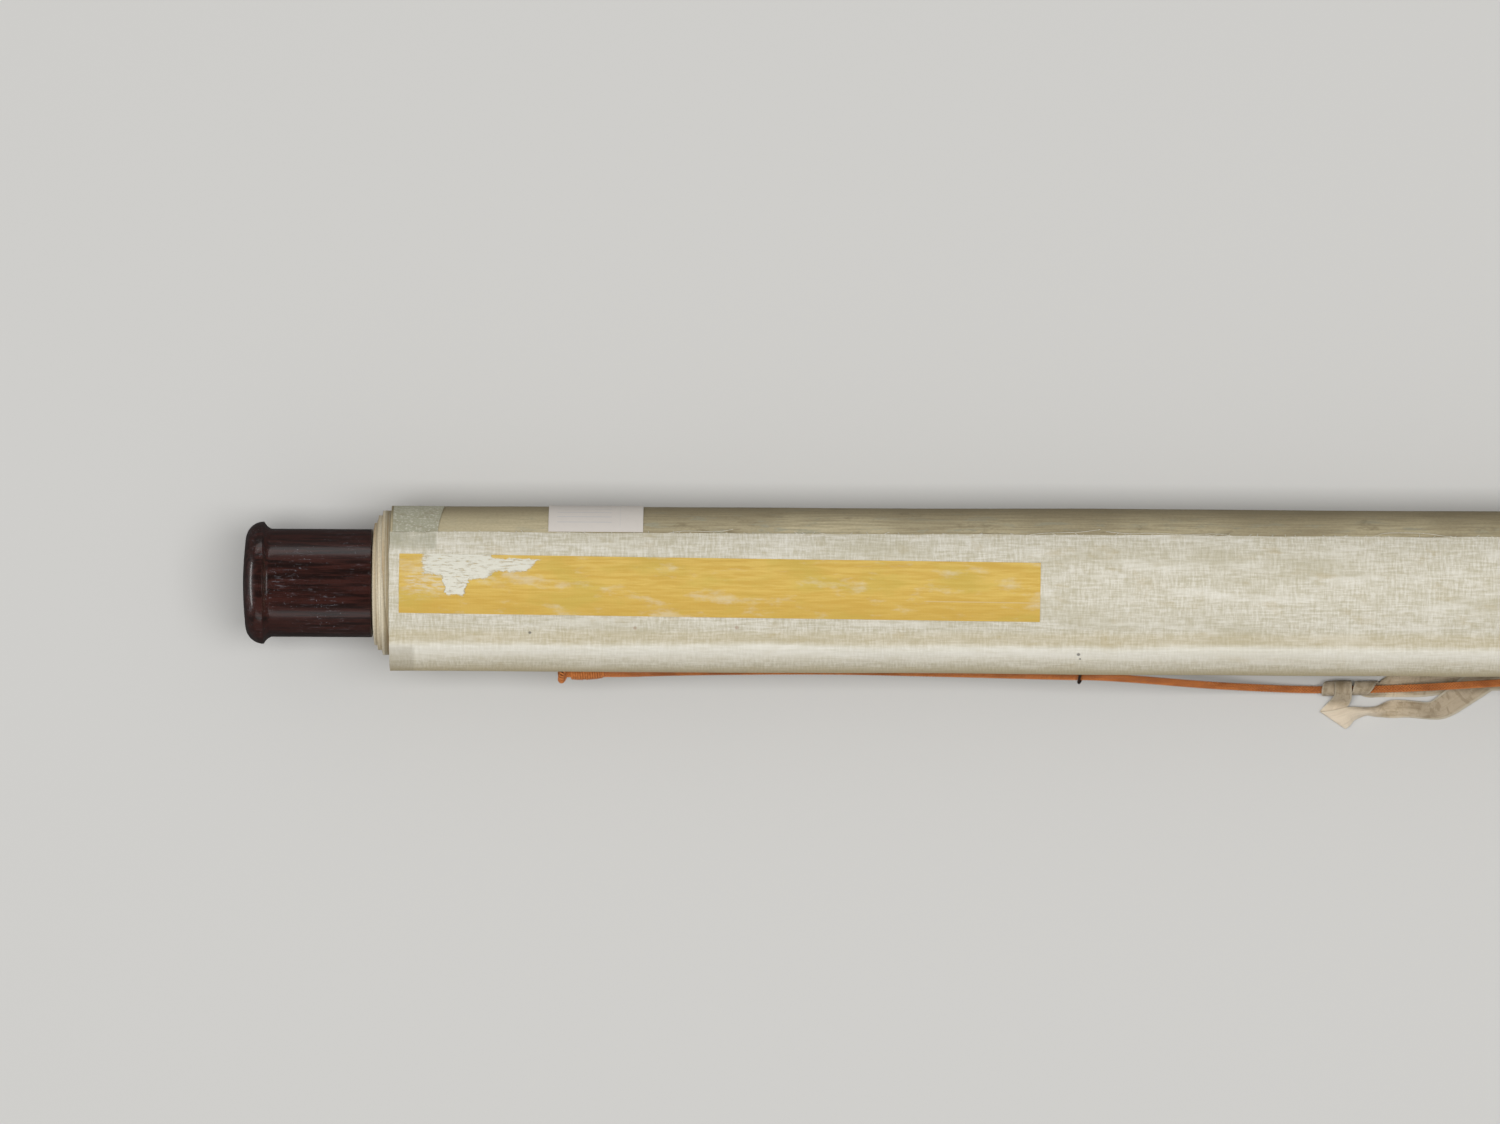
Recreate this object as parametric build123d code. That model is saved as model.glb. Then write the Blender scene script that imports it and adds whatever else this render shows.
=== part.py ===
from build123d import *
import os
from math import atan2, ceil, cos, degrees, floor, radians, sin, sqrt, tan

# A rolled hanging scroll that lies on its side, in millimetres.
# The roll lies along X, +Z is up, and the stave along its outer end is on the -Y side.
# The origin is the middle of the small flat spot that the roll rests on.
# An angle round the roll is in degrees from the top, towards the stave.

# The rolled sheet
sheet_width = 655.0
sheet_thickness = 0.6
turn_gap = 0.25
roll_radius = 27.0
flat_spot_width = 9.0
loose_turn_gap = 0.9

# How far the turns have slid to the left: the inner ones, and the last one under the loose outer turn
inner_slide = 6.3
outer_slide = 2.4
slide_steps = 3

# Where the outer turn starts, beyond the stave
outer_turn_lag = 50.0

# The roller rod and its two knobs
rod_radius = 14.0
rod_clearance = 0.15
rod_proud = 0.2
tenon_radius = 7.0
tenon_length = 22.0
tenon_clearance = 0.1
tenon_chamfer = 1.0
knob_shaft_radius = 18.9
knob_rim_height = 2.5
knob_shaft_length = 35.3
knob_flare_length = 2.8
knob_flare_hollow = 0.25
knob_shoulder_radius = 6.3
knob_end_crown = 0.9
knob_clearance = 0.3

# The half-round stave in the sheet's end
stave_angle = 60.0
stave_width = 17.0
stave_height = 3.4
stave_edge = 1.3
stave_corner = 0.4
stave_clearance = 0.1
valley_lead = 4.0
valley_radius = 5.0

# What is pasted on the outside
paste_gap = 0.1
cover_thickness = 0.3
cover_edge_angle = -42.0
slip_thickness = 0.15
slip_width = 20.0
slip_length = 223.0
slip_margin = 3.5
slip_turn = -0.56
slip_shift = -0.4
label_thickness = 0.15
label_margin = 55.2
label_length = 33.0
label_arc = 50.0
paper_margin = 1.0
corner_patch_length = 17.0
corner_patch_arc = 40.0
corner_patch_slant = 4.0

# Eyelets in the stave's outer edge
eyelet_margin = 60.5
inner_eyelet_place = 86.0
eyelet_wire = 0.5
eyelet_ring_radius = 2.5
eyelet_neck = 0.6
eyelet_depth = 6.0
eyelet_clearance = 0.1
eyelet_twist = 20.0

# The hanging cord
cord_radius = 1.4
cord_drop_in_ring = 0.5
strand_radius = 1.0
knot_radius = 2.5
knot_length = 12.0
knot_gap = 2.2
knot_corner = 0.8
loop_clearance = 0.1
bend_share = 0.45

# The tie ribbon
tape_width = 10.0
tape_thickness = 0.5
hitch_wall = 0.7
hitch_clearance = 0.4
hitch_start = 2.0
first_tail = [(12, -41), (8, -45), (42, -43), (62, -31), (196, -27), (104, -29)]
first_tail_levels = (1, 0, 1, 0, 1)
second_tail = [(18, -37), (52, -35), (150, -25), (84, -23)]
second_tail_levels = (0, 1, 2)

# The longest stretch of a cutting wedge's rim, in degrees
wedge_step = 45.0

# Sizes that follow from these
turn_pitch = sheet_thickness + turn_gap
sheet_left = -sheet_width / 2
outer_turn_start = stave_angle + outer_turn_lag
axis_height = sqrt(roll_radius**2 - (flat_spot_width / 2) ** 2)
outer_turn_radius = roll_radius - sheet_thickness / 2
group_radius = outer_turn_radius - sheet_thickness - loose_turn_gap
first_turn_radius = rod_radius + rod_clearance + sheet_thickness / 2
half_turns = floor(2 * (group_radius - first_turn_radius) / turn_pitch)
slide_start_radius = knob_shaft_radius + knob_clearance
cover_radius = roll_radius + paste_gap + cover_thickness
rod_length = sheet_width + 2 * rod_proud
rod_left = sheet_left - inner_slide - rod_proud
rod_right = rod_left + rod_length
outer_eyelet_place = sheet_width / 2 - eyelet_margin
eyelet_places = {
    "outer_left": -outer_eyelet_place,
    "inner_left": -inner_eyelet_place,
    "inner_right": inner_eyelet_place,
    "outer_right": outer_eyelet_place,
}


def around(radius, angle):
    """A point of the roll's section as (Y, Z)."""
    return (-radius * sin(radians(angle)), axis_height + radius * cos(radians(angle)))


def half_turn_ends(side):
    """The spiral's distances from the axis, one for each half turn, the last where the outer turn starts.

    Side is -1 for the inner face of the sheet, 0 for its middle and 1 for its outer face.
    """
    step = (group_radius - first_turn_radius) / half_turns
    middles = [first_turn_radius + step * count for count in range(half_turns + 1)]
    return [middle + side * sheet_thickness / 2 for middle in middles + [outer_turn_radius]]


def distance_at(start_distance, end_distance, back):
    """How far a half turn's arc is from the axis, `back` degrees before its end."""
    radius = (start_distance + end_distance) / 2
    shift = (end_distance - start_distance) / 2
    return shift * cos(radians(back)) + sqrt(radius**2 - (shift * sin(radians(back))) ** 2)


# The stave lies flat side inwards on the turn below it, with one wall of the sheet between
turn_below_stave = distance_at(group_radius, outer_turn_radius, outer_turn_lag) + sheet_thickness / 2
pocket_wall = stave_clearance + sheet_thickness
stave_seat = turn_below_stave + turn_gap + pocket_wall

# The sheet leaves the roll in a valley just before the pocket's near side
pocket_half = stave_width / 2 + pocket_wall
valley_angle = stave_angle - degrees(atan2(pocket_half, stave_seat)) - valley_lead


def on_stave(across, out):
    """A point as (Y, Z), from one `across` the stave, towards the top, and one `out` from the roll's axis."""
    turn = radians(stave_angle)
    return (across * cos(turn) - out * sin(turn), axis_height + across * sin(turn) + out * cos(turn))


def stave_outline(grow=0.0):
    """The stave's half-round section, grown on all sides, as a face in (Y, Z)."""
    half = stave_width / 2
    shoulder = stave_seat + stave_edge
    crown = stave_seat + stave_height
    sides = Polyline((-half, shoulder), (-half, stave_seat), (half, stave_seat), (half, shoulder))
    arch = ThreePointArc((half, shoulder), (0, crown), (-half, shoulder))
    section = make_face(Curve() + [sides, arch])
    section = fillet(section.vertices(), stave_corner)
    if grow:
        section = offset(section, amount=grow)
    return Pos(0, axis_height) * Rot(0, 0, stave_angle) * section


def sector(start, end):
    """A wedge of the roll's section between two angles, wider than anything on the roll."""
    reach = 3 * roll_radius
    steps = ceil((end - start) / wedge_step)
    rim = [around(reach, start + (end - start) * step / steps) for step in range(steps + 1)]
    return make_face(Polyline((0, axis_height), *rim, close=True))


def roll_outline():
    """The whole outer outline of the roll's section, filled: the flat spot, the valley and the stave's bump."""
    disc = Pos(0, axis_height) * Circle(roll_radius)
    above_floor = Pos(0, 2 * roll_radius) * Rectangle(6 * roll_radius, 4 * roll_radius)
    valley_point = around(roll_radius, valley_angle)
    near_side = on_stave(pocket_half, stave_seat + stave_edge)
    inside_stave = on_stave(0, stave_seat + stave_edge)
    bridge = make_face(Polyline((0, axis_height), valley_point, near_side, inside_stave, close=True))
    outline = (disc & above_floor) + stave_outline(pocket_wall) + bridge
    valley = outline.vertices().sort_by_distance(valley_point)[0]
    return fillet(valley, valley_radius)


def along_roll(section):
    """A section in (Y, Z) as a solid along the whole outer turn."""
    return Pos(sheet_left, 0, 0) * extrude(Plane.YZ * section, amount=sheet_width)


def spiral(side):
    """One face of the sheet's inner turns, from the rod to the start of the outer turn, as tangent half turns."""
    ends = half_turn_ends(side)
    first_angle = outer_turn_start - 360 - 180 * (len(ends) - 1)
    arcs = []
    for count, (start, end) in enumerate(zip(ends, ends[1:])):
        angle = first_angle + 180 * count
        middle = distance_at(start, end, 90)
        arcs.append(ThreePointArc(around(start, angle), around(middle, angle + 90), around(end, angle + 180)))
    return arcs


def inner_turns_section():
    """The wound turns in section, as a face in (Y, Z)."""
    inner = spiral(-1)
    outer = spiral(1)
    start = Line(inner[0] @ 0, outer[0] @ 0)
    end = Line(inner[-1] @ 1, outer[-1] @ 1)
    return make_face(Curve() + [start, *outer, end, *inner])


def end_line(middle):
    """One slid end of the roll as points of (X, distance from the axis), with the outer turn's edge at `middle`."""
    last_turn = group_radius + sheet_thickness / 2
    loose_turn = outer_turn_radius - sheet_thickness / 2
    points = [(middle - inner_slide, 0)]
    for step in range(slide_steps + 1):
        share = step / slide_steps
        slide = inner_slide + (outer_slide - inner_slide) * share**2
        points.append((middle - slide, slide_start_radius + (last_turn - slide_start_radius) * share))
    return points + [(middle, loose_turn), (middle, 3 * roll_radius)]


def slid_ends():
    """The space that the turns fill once they have slid: it bulges at the left end and is hollow at the right."""
    outline = Polyline(*end_line(sheet_left), *reversed(end_line(sheet_left + sheet_width)), close=True)
    return Pos(0, 0, axis_height) * revolve(Plane.XZ * make_face(outline), Axis.X)


def make_scroll():
    """The whole sheet: the inner turns, the loose outer turn and the pocket round the stave."""
    outline = roll_outline()
    skin = outline - offset(outline, amount=-sheet_thickness)
    outer_turn = skin & sector(outer_turn_start - 360, stave_angle)
    pocket = stave_outline(pocket_wall) - stave_outline(stave_clearance)
    section = inner_turns_section() + outer_turn + pocket
    blank = extrude(Plane.YZ * section, amount=sheet_width + 4 * inner_slide)
    return (Pos(sheet_left - 2 * inner_slide, 0, 0) * blank) & slid_ends()


def make_cover_cloth():
    """The cloth on the back of the outer turn, from its edge over the top and round the stave."""
    outline = roll_outline()
    layer = offset(outline, amount=paste_gap + cover_thickness) - offset(outline, amount=paste_gap)
    below_pocket = (
        Pos(0, axis_height)
        * Rot(0, 0, stave_angle)
        * Pos(0, stave_seat - pocket_wall)
        * Rectangle(4 * roll_radius, 2 * roll_radius, align=(Align.CENTER, Align.MAX))
    )
    far_half = sector(stave_angle, outer_turn_start)
    return along_roll((layer & sector(cover_edge_angle, outer_turn_start)) - (below_pocket & far_half))


def pasted(carrier_radius, thickness, start, end, plan):
    """A thin layer on its carrier between two angles, cut to a plan outline in (X, Y)."""
    inner_radius = carrier_radius + paste_gap
    ring = Pos(0, axis_height) * (Circle(inner_radius + thickness) - Circle(inner_radius))
    shell = along_roll(ring & sector(start, end))
    return shell & extrude(plan, amount=3 * roll_radius, dir=(0, 0, 1))


def make_title_slip():
    """The long paper slip along the top, pasted on a little askew."""
    plan = Rot(0, 0, slip_turn) * Rectangle(slip_length, slip_width)
    plan = Pos(sheet_left + slip_margin + slip_length / 2, slip_shift) * plan
    return pasted(cover_radius, slip_thickness, cover_edge_angle, -cover_edge_angle, plan)


def make_label():
    """The small label that starts at the cloth's edge and goes over the far side."""
    middle = sheet_left + label_margin + label_length / 2
    plan = Pos(middle, roll_radius) * Rectangle(label_length, 2 * roll_radius)
    start = cover_edge_angle - label_arc
    return pasted(roll_radius, label_thickness, start, cover_edge_angle - paper_margin, plan)


def make_corner_patch(side):
    """A patch at an end of the backing, with a slanted inner border. Side is -1 at the left, 1 at the right."""
    near = roll_radius * sin(radians(-cover_edge_angle)) - paper_margin
    end = sheet_width / 2 - paper_margin
    inner = end - corner_patch_length
    plan = Polygon(
        (side * end, near),
        (side * end, 2 * roll_radius),
        (side * (inner - corner_patch_slant), 2 * roll_radius),
        (side * inner, near),
        align=None,
    )
    start = cover_edge_angle - corner_patch_arc
    return pasted(roll_radius, label_thickness, start, cover_edge_angle - paper_margin, plan)


def make_rod():
    """The roller rod, with a round tenon for each knob."""
    half = Polyline(
        (0, 0),
        (-tenon_length, 0),
        (-tenon_length, tenon_radius - tenon_chamfer),
        (-tenon_length + tenon_chamfer, tenon_radius),
        (0, tenon_radius),
        (0, rod_radius),
        (rod_length, rod_radius),
        (rod_length, tenon_radius),
        (rod_length + tenon_length - tenon_chamfer, tenon_radius),
        (rod_length + tenon_length, tenon_radius - tenon_chamfer),
        (rod_length + tenon_length, 0),
        close=True,
    )
    rod = revolve(Plane.XZ * make_face(half), Axis.X)
    return Pos(rod_left, 0, axis_height) * rod


def make_knob(side):
    """A turned roller knob: a bored shaft that flares to a rounded rim. Side is -1 at the left, 1 at the right."""
    crest = knob_shaft_length + knob_flare_length
    rim_end = crest + knob_shoulder_radius
    bore_radius = tenon_radius + tenon_clearance
    bore_length = tenon_length + tenon_clearance
    rim_radius = knob_shaft_radius + knob_rim_height
    end_radius = rim_radius - knob_shoulder_radius
    flare_middle = (
        (knob_shaft_length + crest) / 2 + knob_flare_hollow,
        (knob_shaft_radius + rim_radius) / 2 - knob_flare_hollow,
    )
    outline = Curve() + [
        Polyline((bore_length, 0), (bore_length, bore_radius), (0, bore_radius), (0, knob_shaft_radius)),
        Line((0, knob_shaft_radius), (knob_shaft_length, knob_shaft_radius)),
        ThreePointArc((knob_shaft_length, knob_shaft_radius), flare_middle, (crest, rim_radius)),
        TangentArc((crest, rim_radius), (rim_end, end_radius), tangent=(1, 0)),
        TangentArc((rim_end + knob_end_crown, 0), (rim_end, end_radius), tangent=(0, 1)),
        Line((rim_end + knob_end_crown, 0), (bore_length, 0)),
    ]
    knob = revolve(Plane.XZ * make_face(outline), Axis.X)
    if side < 0:
        knob = mirror(knob, Plane.YZ)
    return Pos(rod_right if side > 0 else rod_left, 0, axis_height) * knob


def ring_place():
    """Where an eyelet's ring has its middle, across and out on the stave."""
    edge = pocket_half + paste_gap + cover_thickness
    return (-(edge + eyelet_neck + eyelet_wire + eyelet_ring_radius), stave_seat + stave_edge / 2)


def shank(x, radius):
    """The round wire that goes from inside the stave to an eyelet's ring."""
    across, out = ring_place()
    inner_end = -stave_width / 2 + eyelet_depth
    start = Vector(x, *on_stave(inner_end, out))
    end = Vector(x, *on_stave(across + eyelet_ring_radius, out))
    return Solid.make_cylinder(radius, (end - start).length, Plane(start, z_dir=end - start))


def make_eyelet(x):
    """A wire ring on a shank that is driven into the stave's edge."""
    across, out = ring_place()
    middle = Vector(x, *on_stave(across, out))
    outwards = (Vector(x, *on_stave(across - 1, out)) - middle).normalized()
    twist = -eyelet_twist if x > 0 else eyelet_twist
    through = Vector(1, 0, 0).rotate(Axis((0, 0, 0), outwards), twist)
    ring = Plane(middle, x_dir=outwards, z_dir=through) * Torus(eyelet_ring_radius, eyelet_wire)
    return shank(x, eyelet_wire) + ring


def bored(solid):
    """The solid with a hole for each eyelet's shank."""
    for x in eyelet_places.values():
        solid = solid - shank(x, eyelet_wire + eyelet_clearance)
    return solid


# The knots hang from the lowest point of the outer rings, and the cord lies in the bottom of the inner ones
ring_y, ring_z = on_stave(*ring_place())
knot_z = ring_z - eyelet_ring_radius
cord_end_x = outer_eyelet_place - knot_gap - knot_length
cord_in_ring_y, cord_in_ring_z = on_stave(ring_place()[0] - cord_drop_in_ring, ring_place()[1])


def cord_points():
    """The cord's route from knot to knot: it runs over the inner rings and its middle lies on the floor."""
    return [
        (-cord_end_x, ring_y, knot_z),
        (-245.0, ring_y, knot_z),
        (-230.0, -30.6, 23.9),
        (-208.0, -30.2, 20.4),
        (-182.0, -30.0, 18.2),
        (-155.0, -30.2, 18.9),
        (-130.0, -30.6, 22.2),
        (-109.0, -31.0, 26.6),
        (-92.0, cord_in_ring_y, cord_in_ring_z),
        (-80.0, cord_in_ring_y, cord_in_ring_z),
        (-62.0, -32.6, 24.2),
        (-43.0, -34.2, 14.8),
        (-25.0, -35.6, 6.8),
        (-10.0, -36.3, 3.4),
        (3.0, -36.5, 2.9),
        (21.0, -36.3, 2.9),
        (35.0, -35.5, 4.4),
        (50.0, -34.1, 11.8),
        (65.0, -32.7, 22.4),
        (80.0, cord_in_ring_y, cord_in_ring_z),
        (92.0, cord_in_ring_y, cord_in_ring_z),
        (110.0, -30.9, 26.2),
        (132.0, -30.6, 21.5),
        (157.0, -30.1, 18.5),
        (184.0, -30.0, 18.1),
        (209.0, -30.3, 20.8),
        (231.0, -30.7, 24.3),
        (245.0, ring_y, knot_z),
        (cord_end_x, ring_y, knot_z),
    ]


def bend_radii(points):
    """For each corner, the largest arc that the shorter of its two runs allows."""
    vectors = [Vector(point) for point in points]
    radii = []
    for before, corner, after in zip(vectors, vectors[1:], vectors[2:]):
        run_in = corner - before
        run_out = after - corner
        turn = radians(run_in.get_angle(run_out))
        radii.append(bend_share * min(run_in.length, run_out.length) / tan(turn / 2))
    return radii


def make_hanging_cord():
    """The cord as a plain tube of straight runs joined by tangent arcs."""
    points = cord_points()
    radii = bend_radii(points)
    path = FilletPolyline(*points, radius=radii)
    section = Plane(path @ 0, z_dir=path % 0) * Circle(cord_radius)
    cord = sweep(section, path)
    print("cord length", round(path.length, 1), "volume", round(cord.volume))
    print("section times length", round(Circle(cord_radius).area * path.length))
    print("cord radii", [round(radius) for radius in radii])
    return cord


def make_cord_knot(side):
    """The cord's end: a loop through the outer ring, and the wrapped turns that hold it. Side is -1 or 1."""
    loop_radius = eyelet_wire + strand_radius + loop_clearance
    wraps = Plane((knot_gap, 0, 0), z_dir=(1, 0, 0)) * Cylinder(
        knot_radius, knot_length, align=(Align.CENTER, Align.CENTER, Align.MIN)
    )
    wraps = fillet(wraps.edges().filter_by(GeomType.CIRCLE), knot_corner)
    turn = Plane((0, 0, 0), x_dir=(0, 0, 1), z_dir=(0, -1, 0)) * Torus(loop_radius, strand_radius)
    turn = split(turn, Plane.YZ, keep=Keep.BOTTOM)
    knot = wraps + turn
    for height in (-loop_radius, loop_radius):
        arm = Plane((0, 0, height), z_dir=(1, 0, 0)) * Cylinder(
            strand_radius, knot_gap + knot_corner, align=(Align.CENTER, Align.CENTER, Align.MIN)
        )
        knot = knot + arm
    if side > 0:
        knot = mirror(knot, Plane.YZ)
    return Pos(side * outer_eyelet_place, ring_y, knot_z) * knot


def tape_leg(start, end, level):
    """One straight leg of the flat tape, on the given level of the folded pile."""
    start, end = Vector(*start), Vector(*end)
    middle = (start + end) / 2
    length = (end - start).length + tape_width
    turn = degrees(atan2(end.Y - start.Y, end.X - start.X))
    leg = Box(length, tape_width, tape_thickness, align=(Align.CENTER, Align.CENTER, Align.MIN))
    return Pos(middle.X, middle.Y, level * tape_thickness) * Rot(0, 0, turn) * leg


def make_tie_ribbon():
    """The tape: a hitch round the cord and two tails that lie folded on the floor beside the roll."""
    start, end = [Vector(point) for point in cord_points() if point[0] > hitch_start][:2]
    inner = cord_radius + hitch_clearance
    hitch = Plane(start, z_dir=end - start) * (Circle(inner + hitch_wall) - Circle(inner))
    ribbon = extrude(hitch, amount=(end - start).length)
    for tail, levels in ((first_tail, first_tail_levels), (second_tail, second_tail_levels)):
        for leg_start, leg_end, level in zip(tail, tail[1:], levels):
            ribbon = ribbon + tape_leg(leg_start, leg_end, level)
    return ribbon


def write(node, shape):
    export_step(shape, f"parts/{node}.step")


def main():
    os.makedirs("parts", exist_ok=True)
    write("scroll", bored(make_scroll()))
    write("top_stave", bored(along_roll(stave_outline())))
    write("cover_cloth", bored(make_cover_cloth()))
    write("title_slip", make_title_slip())
    write("label", make_label())
    write("corner_patch_left", make_corner_patch(-1))
    write("corner_patch_right", make_corner_patch(1))
    write("roller_rod", make_rod())
    write("knob_left", make_knob(-1))
    write("knob_right", make_knob(1))
    for place, x in eyelet_places.items():
        write(f"eyelet_{place}", make_eyelet(x))
    write("hanging_cord", make_hanging_cord())
    write("cord_knot_left", make_cord_knot(-1))
    write("cord_knot_right", make_cord_knot(1))
    write("tie_ribbon", make_tie_ribbon())


main()
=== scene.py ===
"""The looks of a rolled hanging scroll that lies on its side.

Lengths are in metres, but millimetres inside the materials and where a table says so. The roll lies along X,
+Z is up, and the stave and the cord are on the -Y side. An angle round the roll is in degrees from the top,
towards the stave. An arc is a length along the sheet's outer face, zero at the top line of the roll and
growing towards the stave.
"""

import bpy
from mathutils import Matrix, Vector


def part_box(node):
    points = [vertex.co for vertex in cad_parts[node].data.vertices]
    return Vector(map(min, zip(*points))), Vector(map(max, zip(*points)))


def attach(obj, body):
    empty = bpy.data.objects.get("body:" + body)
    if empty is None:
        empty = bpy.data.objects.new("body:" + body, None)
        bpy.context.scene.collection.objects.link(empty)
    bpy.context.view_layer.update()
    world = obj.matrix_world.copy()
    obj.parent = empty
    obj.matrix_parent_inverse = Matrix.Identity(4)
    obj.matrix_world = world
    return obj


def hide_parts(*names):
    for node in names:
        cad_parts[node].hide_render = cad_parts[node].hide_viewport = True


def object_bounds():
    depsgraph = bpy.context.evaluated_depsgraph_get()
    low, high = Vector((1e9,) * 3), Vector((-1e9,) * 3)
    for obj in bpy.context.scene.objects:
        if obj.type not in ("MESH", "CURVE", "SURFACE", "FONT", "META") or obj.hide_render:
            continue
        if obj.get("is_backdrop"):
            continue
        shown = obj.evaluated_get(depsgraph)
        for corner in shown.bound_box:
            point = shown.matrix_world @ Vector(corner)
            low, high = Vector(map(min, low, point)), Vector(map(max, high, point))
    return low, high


bl_info = {
    "name": "Rolled Hanging Scroll",
    "version": (1, 0, 0),
    "blender": (4, 5, 0),
    "location": "View3D > Sidebar > Scroll",
    "description": "Dresses a rolled hanging scroll in its paper, cloth, wood, cord and ribbon",
    "category": "Object",
}

from bisect import bisect_left
from cmath import exp, phase
from functools import partialmethod
from itertools import accumulate
from math import asin, atan2, ceil, cos, degrees, floor, pi, radians, sin, sqrt, tan

import bpy
from bpy.props import FloatProperty, FloatVectorProperty, PointerProperty
from mathutils import Vector, noise

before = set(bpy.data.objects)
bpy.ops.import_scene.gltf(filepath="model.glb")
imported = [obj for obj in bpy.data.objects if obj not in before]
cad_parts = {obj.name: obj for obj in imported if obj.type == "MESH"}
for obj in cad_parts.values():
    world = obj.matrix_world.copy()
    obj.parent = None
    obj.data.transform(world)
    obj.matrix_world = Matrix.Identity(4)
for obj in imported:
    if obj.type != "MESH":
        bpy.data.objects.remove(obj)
cad_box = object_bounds()

MM = 0.001

# What the frame gives
ROD_LOW, ROD_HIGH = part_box("roller_rod")
ROD_RADIUS = (ROD_HIGH.z - ROD_LOW.z) / 2
AXIS_HEIGHT = (ROD_LOW.z + ROD_HIGH.z) / 2
CLOTH_LOW, CLOTH_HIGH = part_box("cover_cloth")
SHEET_LEFT, SHEET_RIGHT = CLOTH_LOW.x, CLOTH_HIGH.x
SHEET_WIDTH = SHEET_RIGHT - SHEET_LEFT
ROLL_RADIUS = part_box("scroll")[1].z - AXIS_HEIGHT
KNOT_LOW, KNOT_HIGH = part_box("cord_knot_left")

# The stave and its pocket, the angles where layers start, and where the outer turn starts
STAVE_ANGLE = 60.0
STAVE_WIDTH = 17 * MM
STAVE_HEIGHT = 3.4 * MM
STAVE_EDGE = 1.3 * MM
STAVE_ROOM = 0.1 * MM
VALLEY_LEAD = 4.0
VALLEY_RADIUS = 5 * MM
COVER_EDGE_ANGLE = -42.0
OUTER_TURN_START = 110.0
ROD_ROOM = 0.15 * MM

# The pieces that come in pairs, with -1 for the left one and 1 for the right one
SIDES = {kind: {kind + "_left": -1, kind + "_right": 1} for kind in ("corner_patch", "knob", "cord_knot")}


def srgb(red, green, blue):
    """A screen colour from 0 to 255 as the linear values that a shader takes."""
    shares = [value / 255 for value in (red, green, blue)]
    return tuple(share / 12.92 if share < 0.04 else ((share + 0.055) / 1.055) ** 2.4 for share in shares)


def length(name, description, millimetres):
    """A length that a user may change."""
    kind = {"min": 0, "precision": 5, "subtype": "DISTANCE", "unit": "LENGTH"}
    return FloatProperty(name=name, description=description, default=millimetres * MM, **kind)


def colour(name, description, red, green, blue):
    """A colour that a user may change."""
    kind = {"min": 0, "max": 1, "size": 3, "subtype": "COLOR"}
    return FloatVectorProperty(name=name, description=description, default=srgb(red, green, blue), **kind)


class ScrollSizes(bpy.types.PropertyGroup):
    """The lengths that shape the soft and turned pieces."""

    sheet_thickness: length("Sheet thickness", "Thickness of the mounted sheet", 0.6)
    turn_gap: length("Turn gap", "Least gap between two turns of the sheet", 0.25)
    loose_gap: length("Loose gap", "Gap under the loose outer turn", 0.9)
    inner_slide: length("Inner slide", "How far the inner turns have slid out at the left end", 6.3)
    outer_slide: length("Outer slide", "How far the last turn under the loose one has slid out", 2.4)
    ripple: length("Ripple", "How far the loose outer turn waves", 0.45)
    cover_lift: length("Cover lift", "Top of the cover cloth above the sheet", 0.4)
    paper_lift: length("Paper lift", "Top of a pasted paper above what carries it", 0.22)
    weave_pitch: length("Weave pitch", "Distance of two threads of the cover cloth", 0.5)
    knob_radius: length("Knob radius", "Radius of a knob's shaft", 18.9)
    knob_rim_height: length("Knob rim height", "How far a knob's rim stands above its shaft", 2.5)
    cord_width: length("Cord width", "Width of the flat braided cord", 2.8)
    strand: length("Strand", "Diameter of one strand of the braid", 0.62)
    tape_width: length("Tape width", "Width that the ribbon was woven to", 10.2)
    tape_thickness: length("Tape thickness", "Thickness of the ribbon", 0.4)


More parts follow.
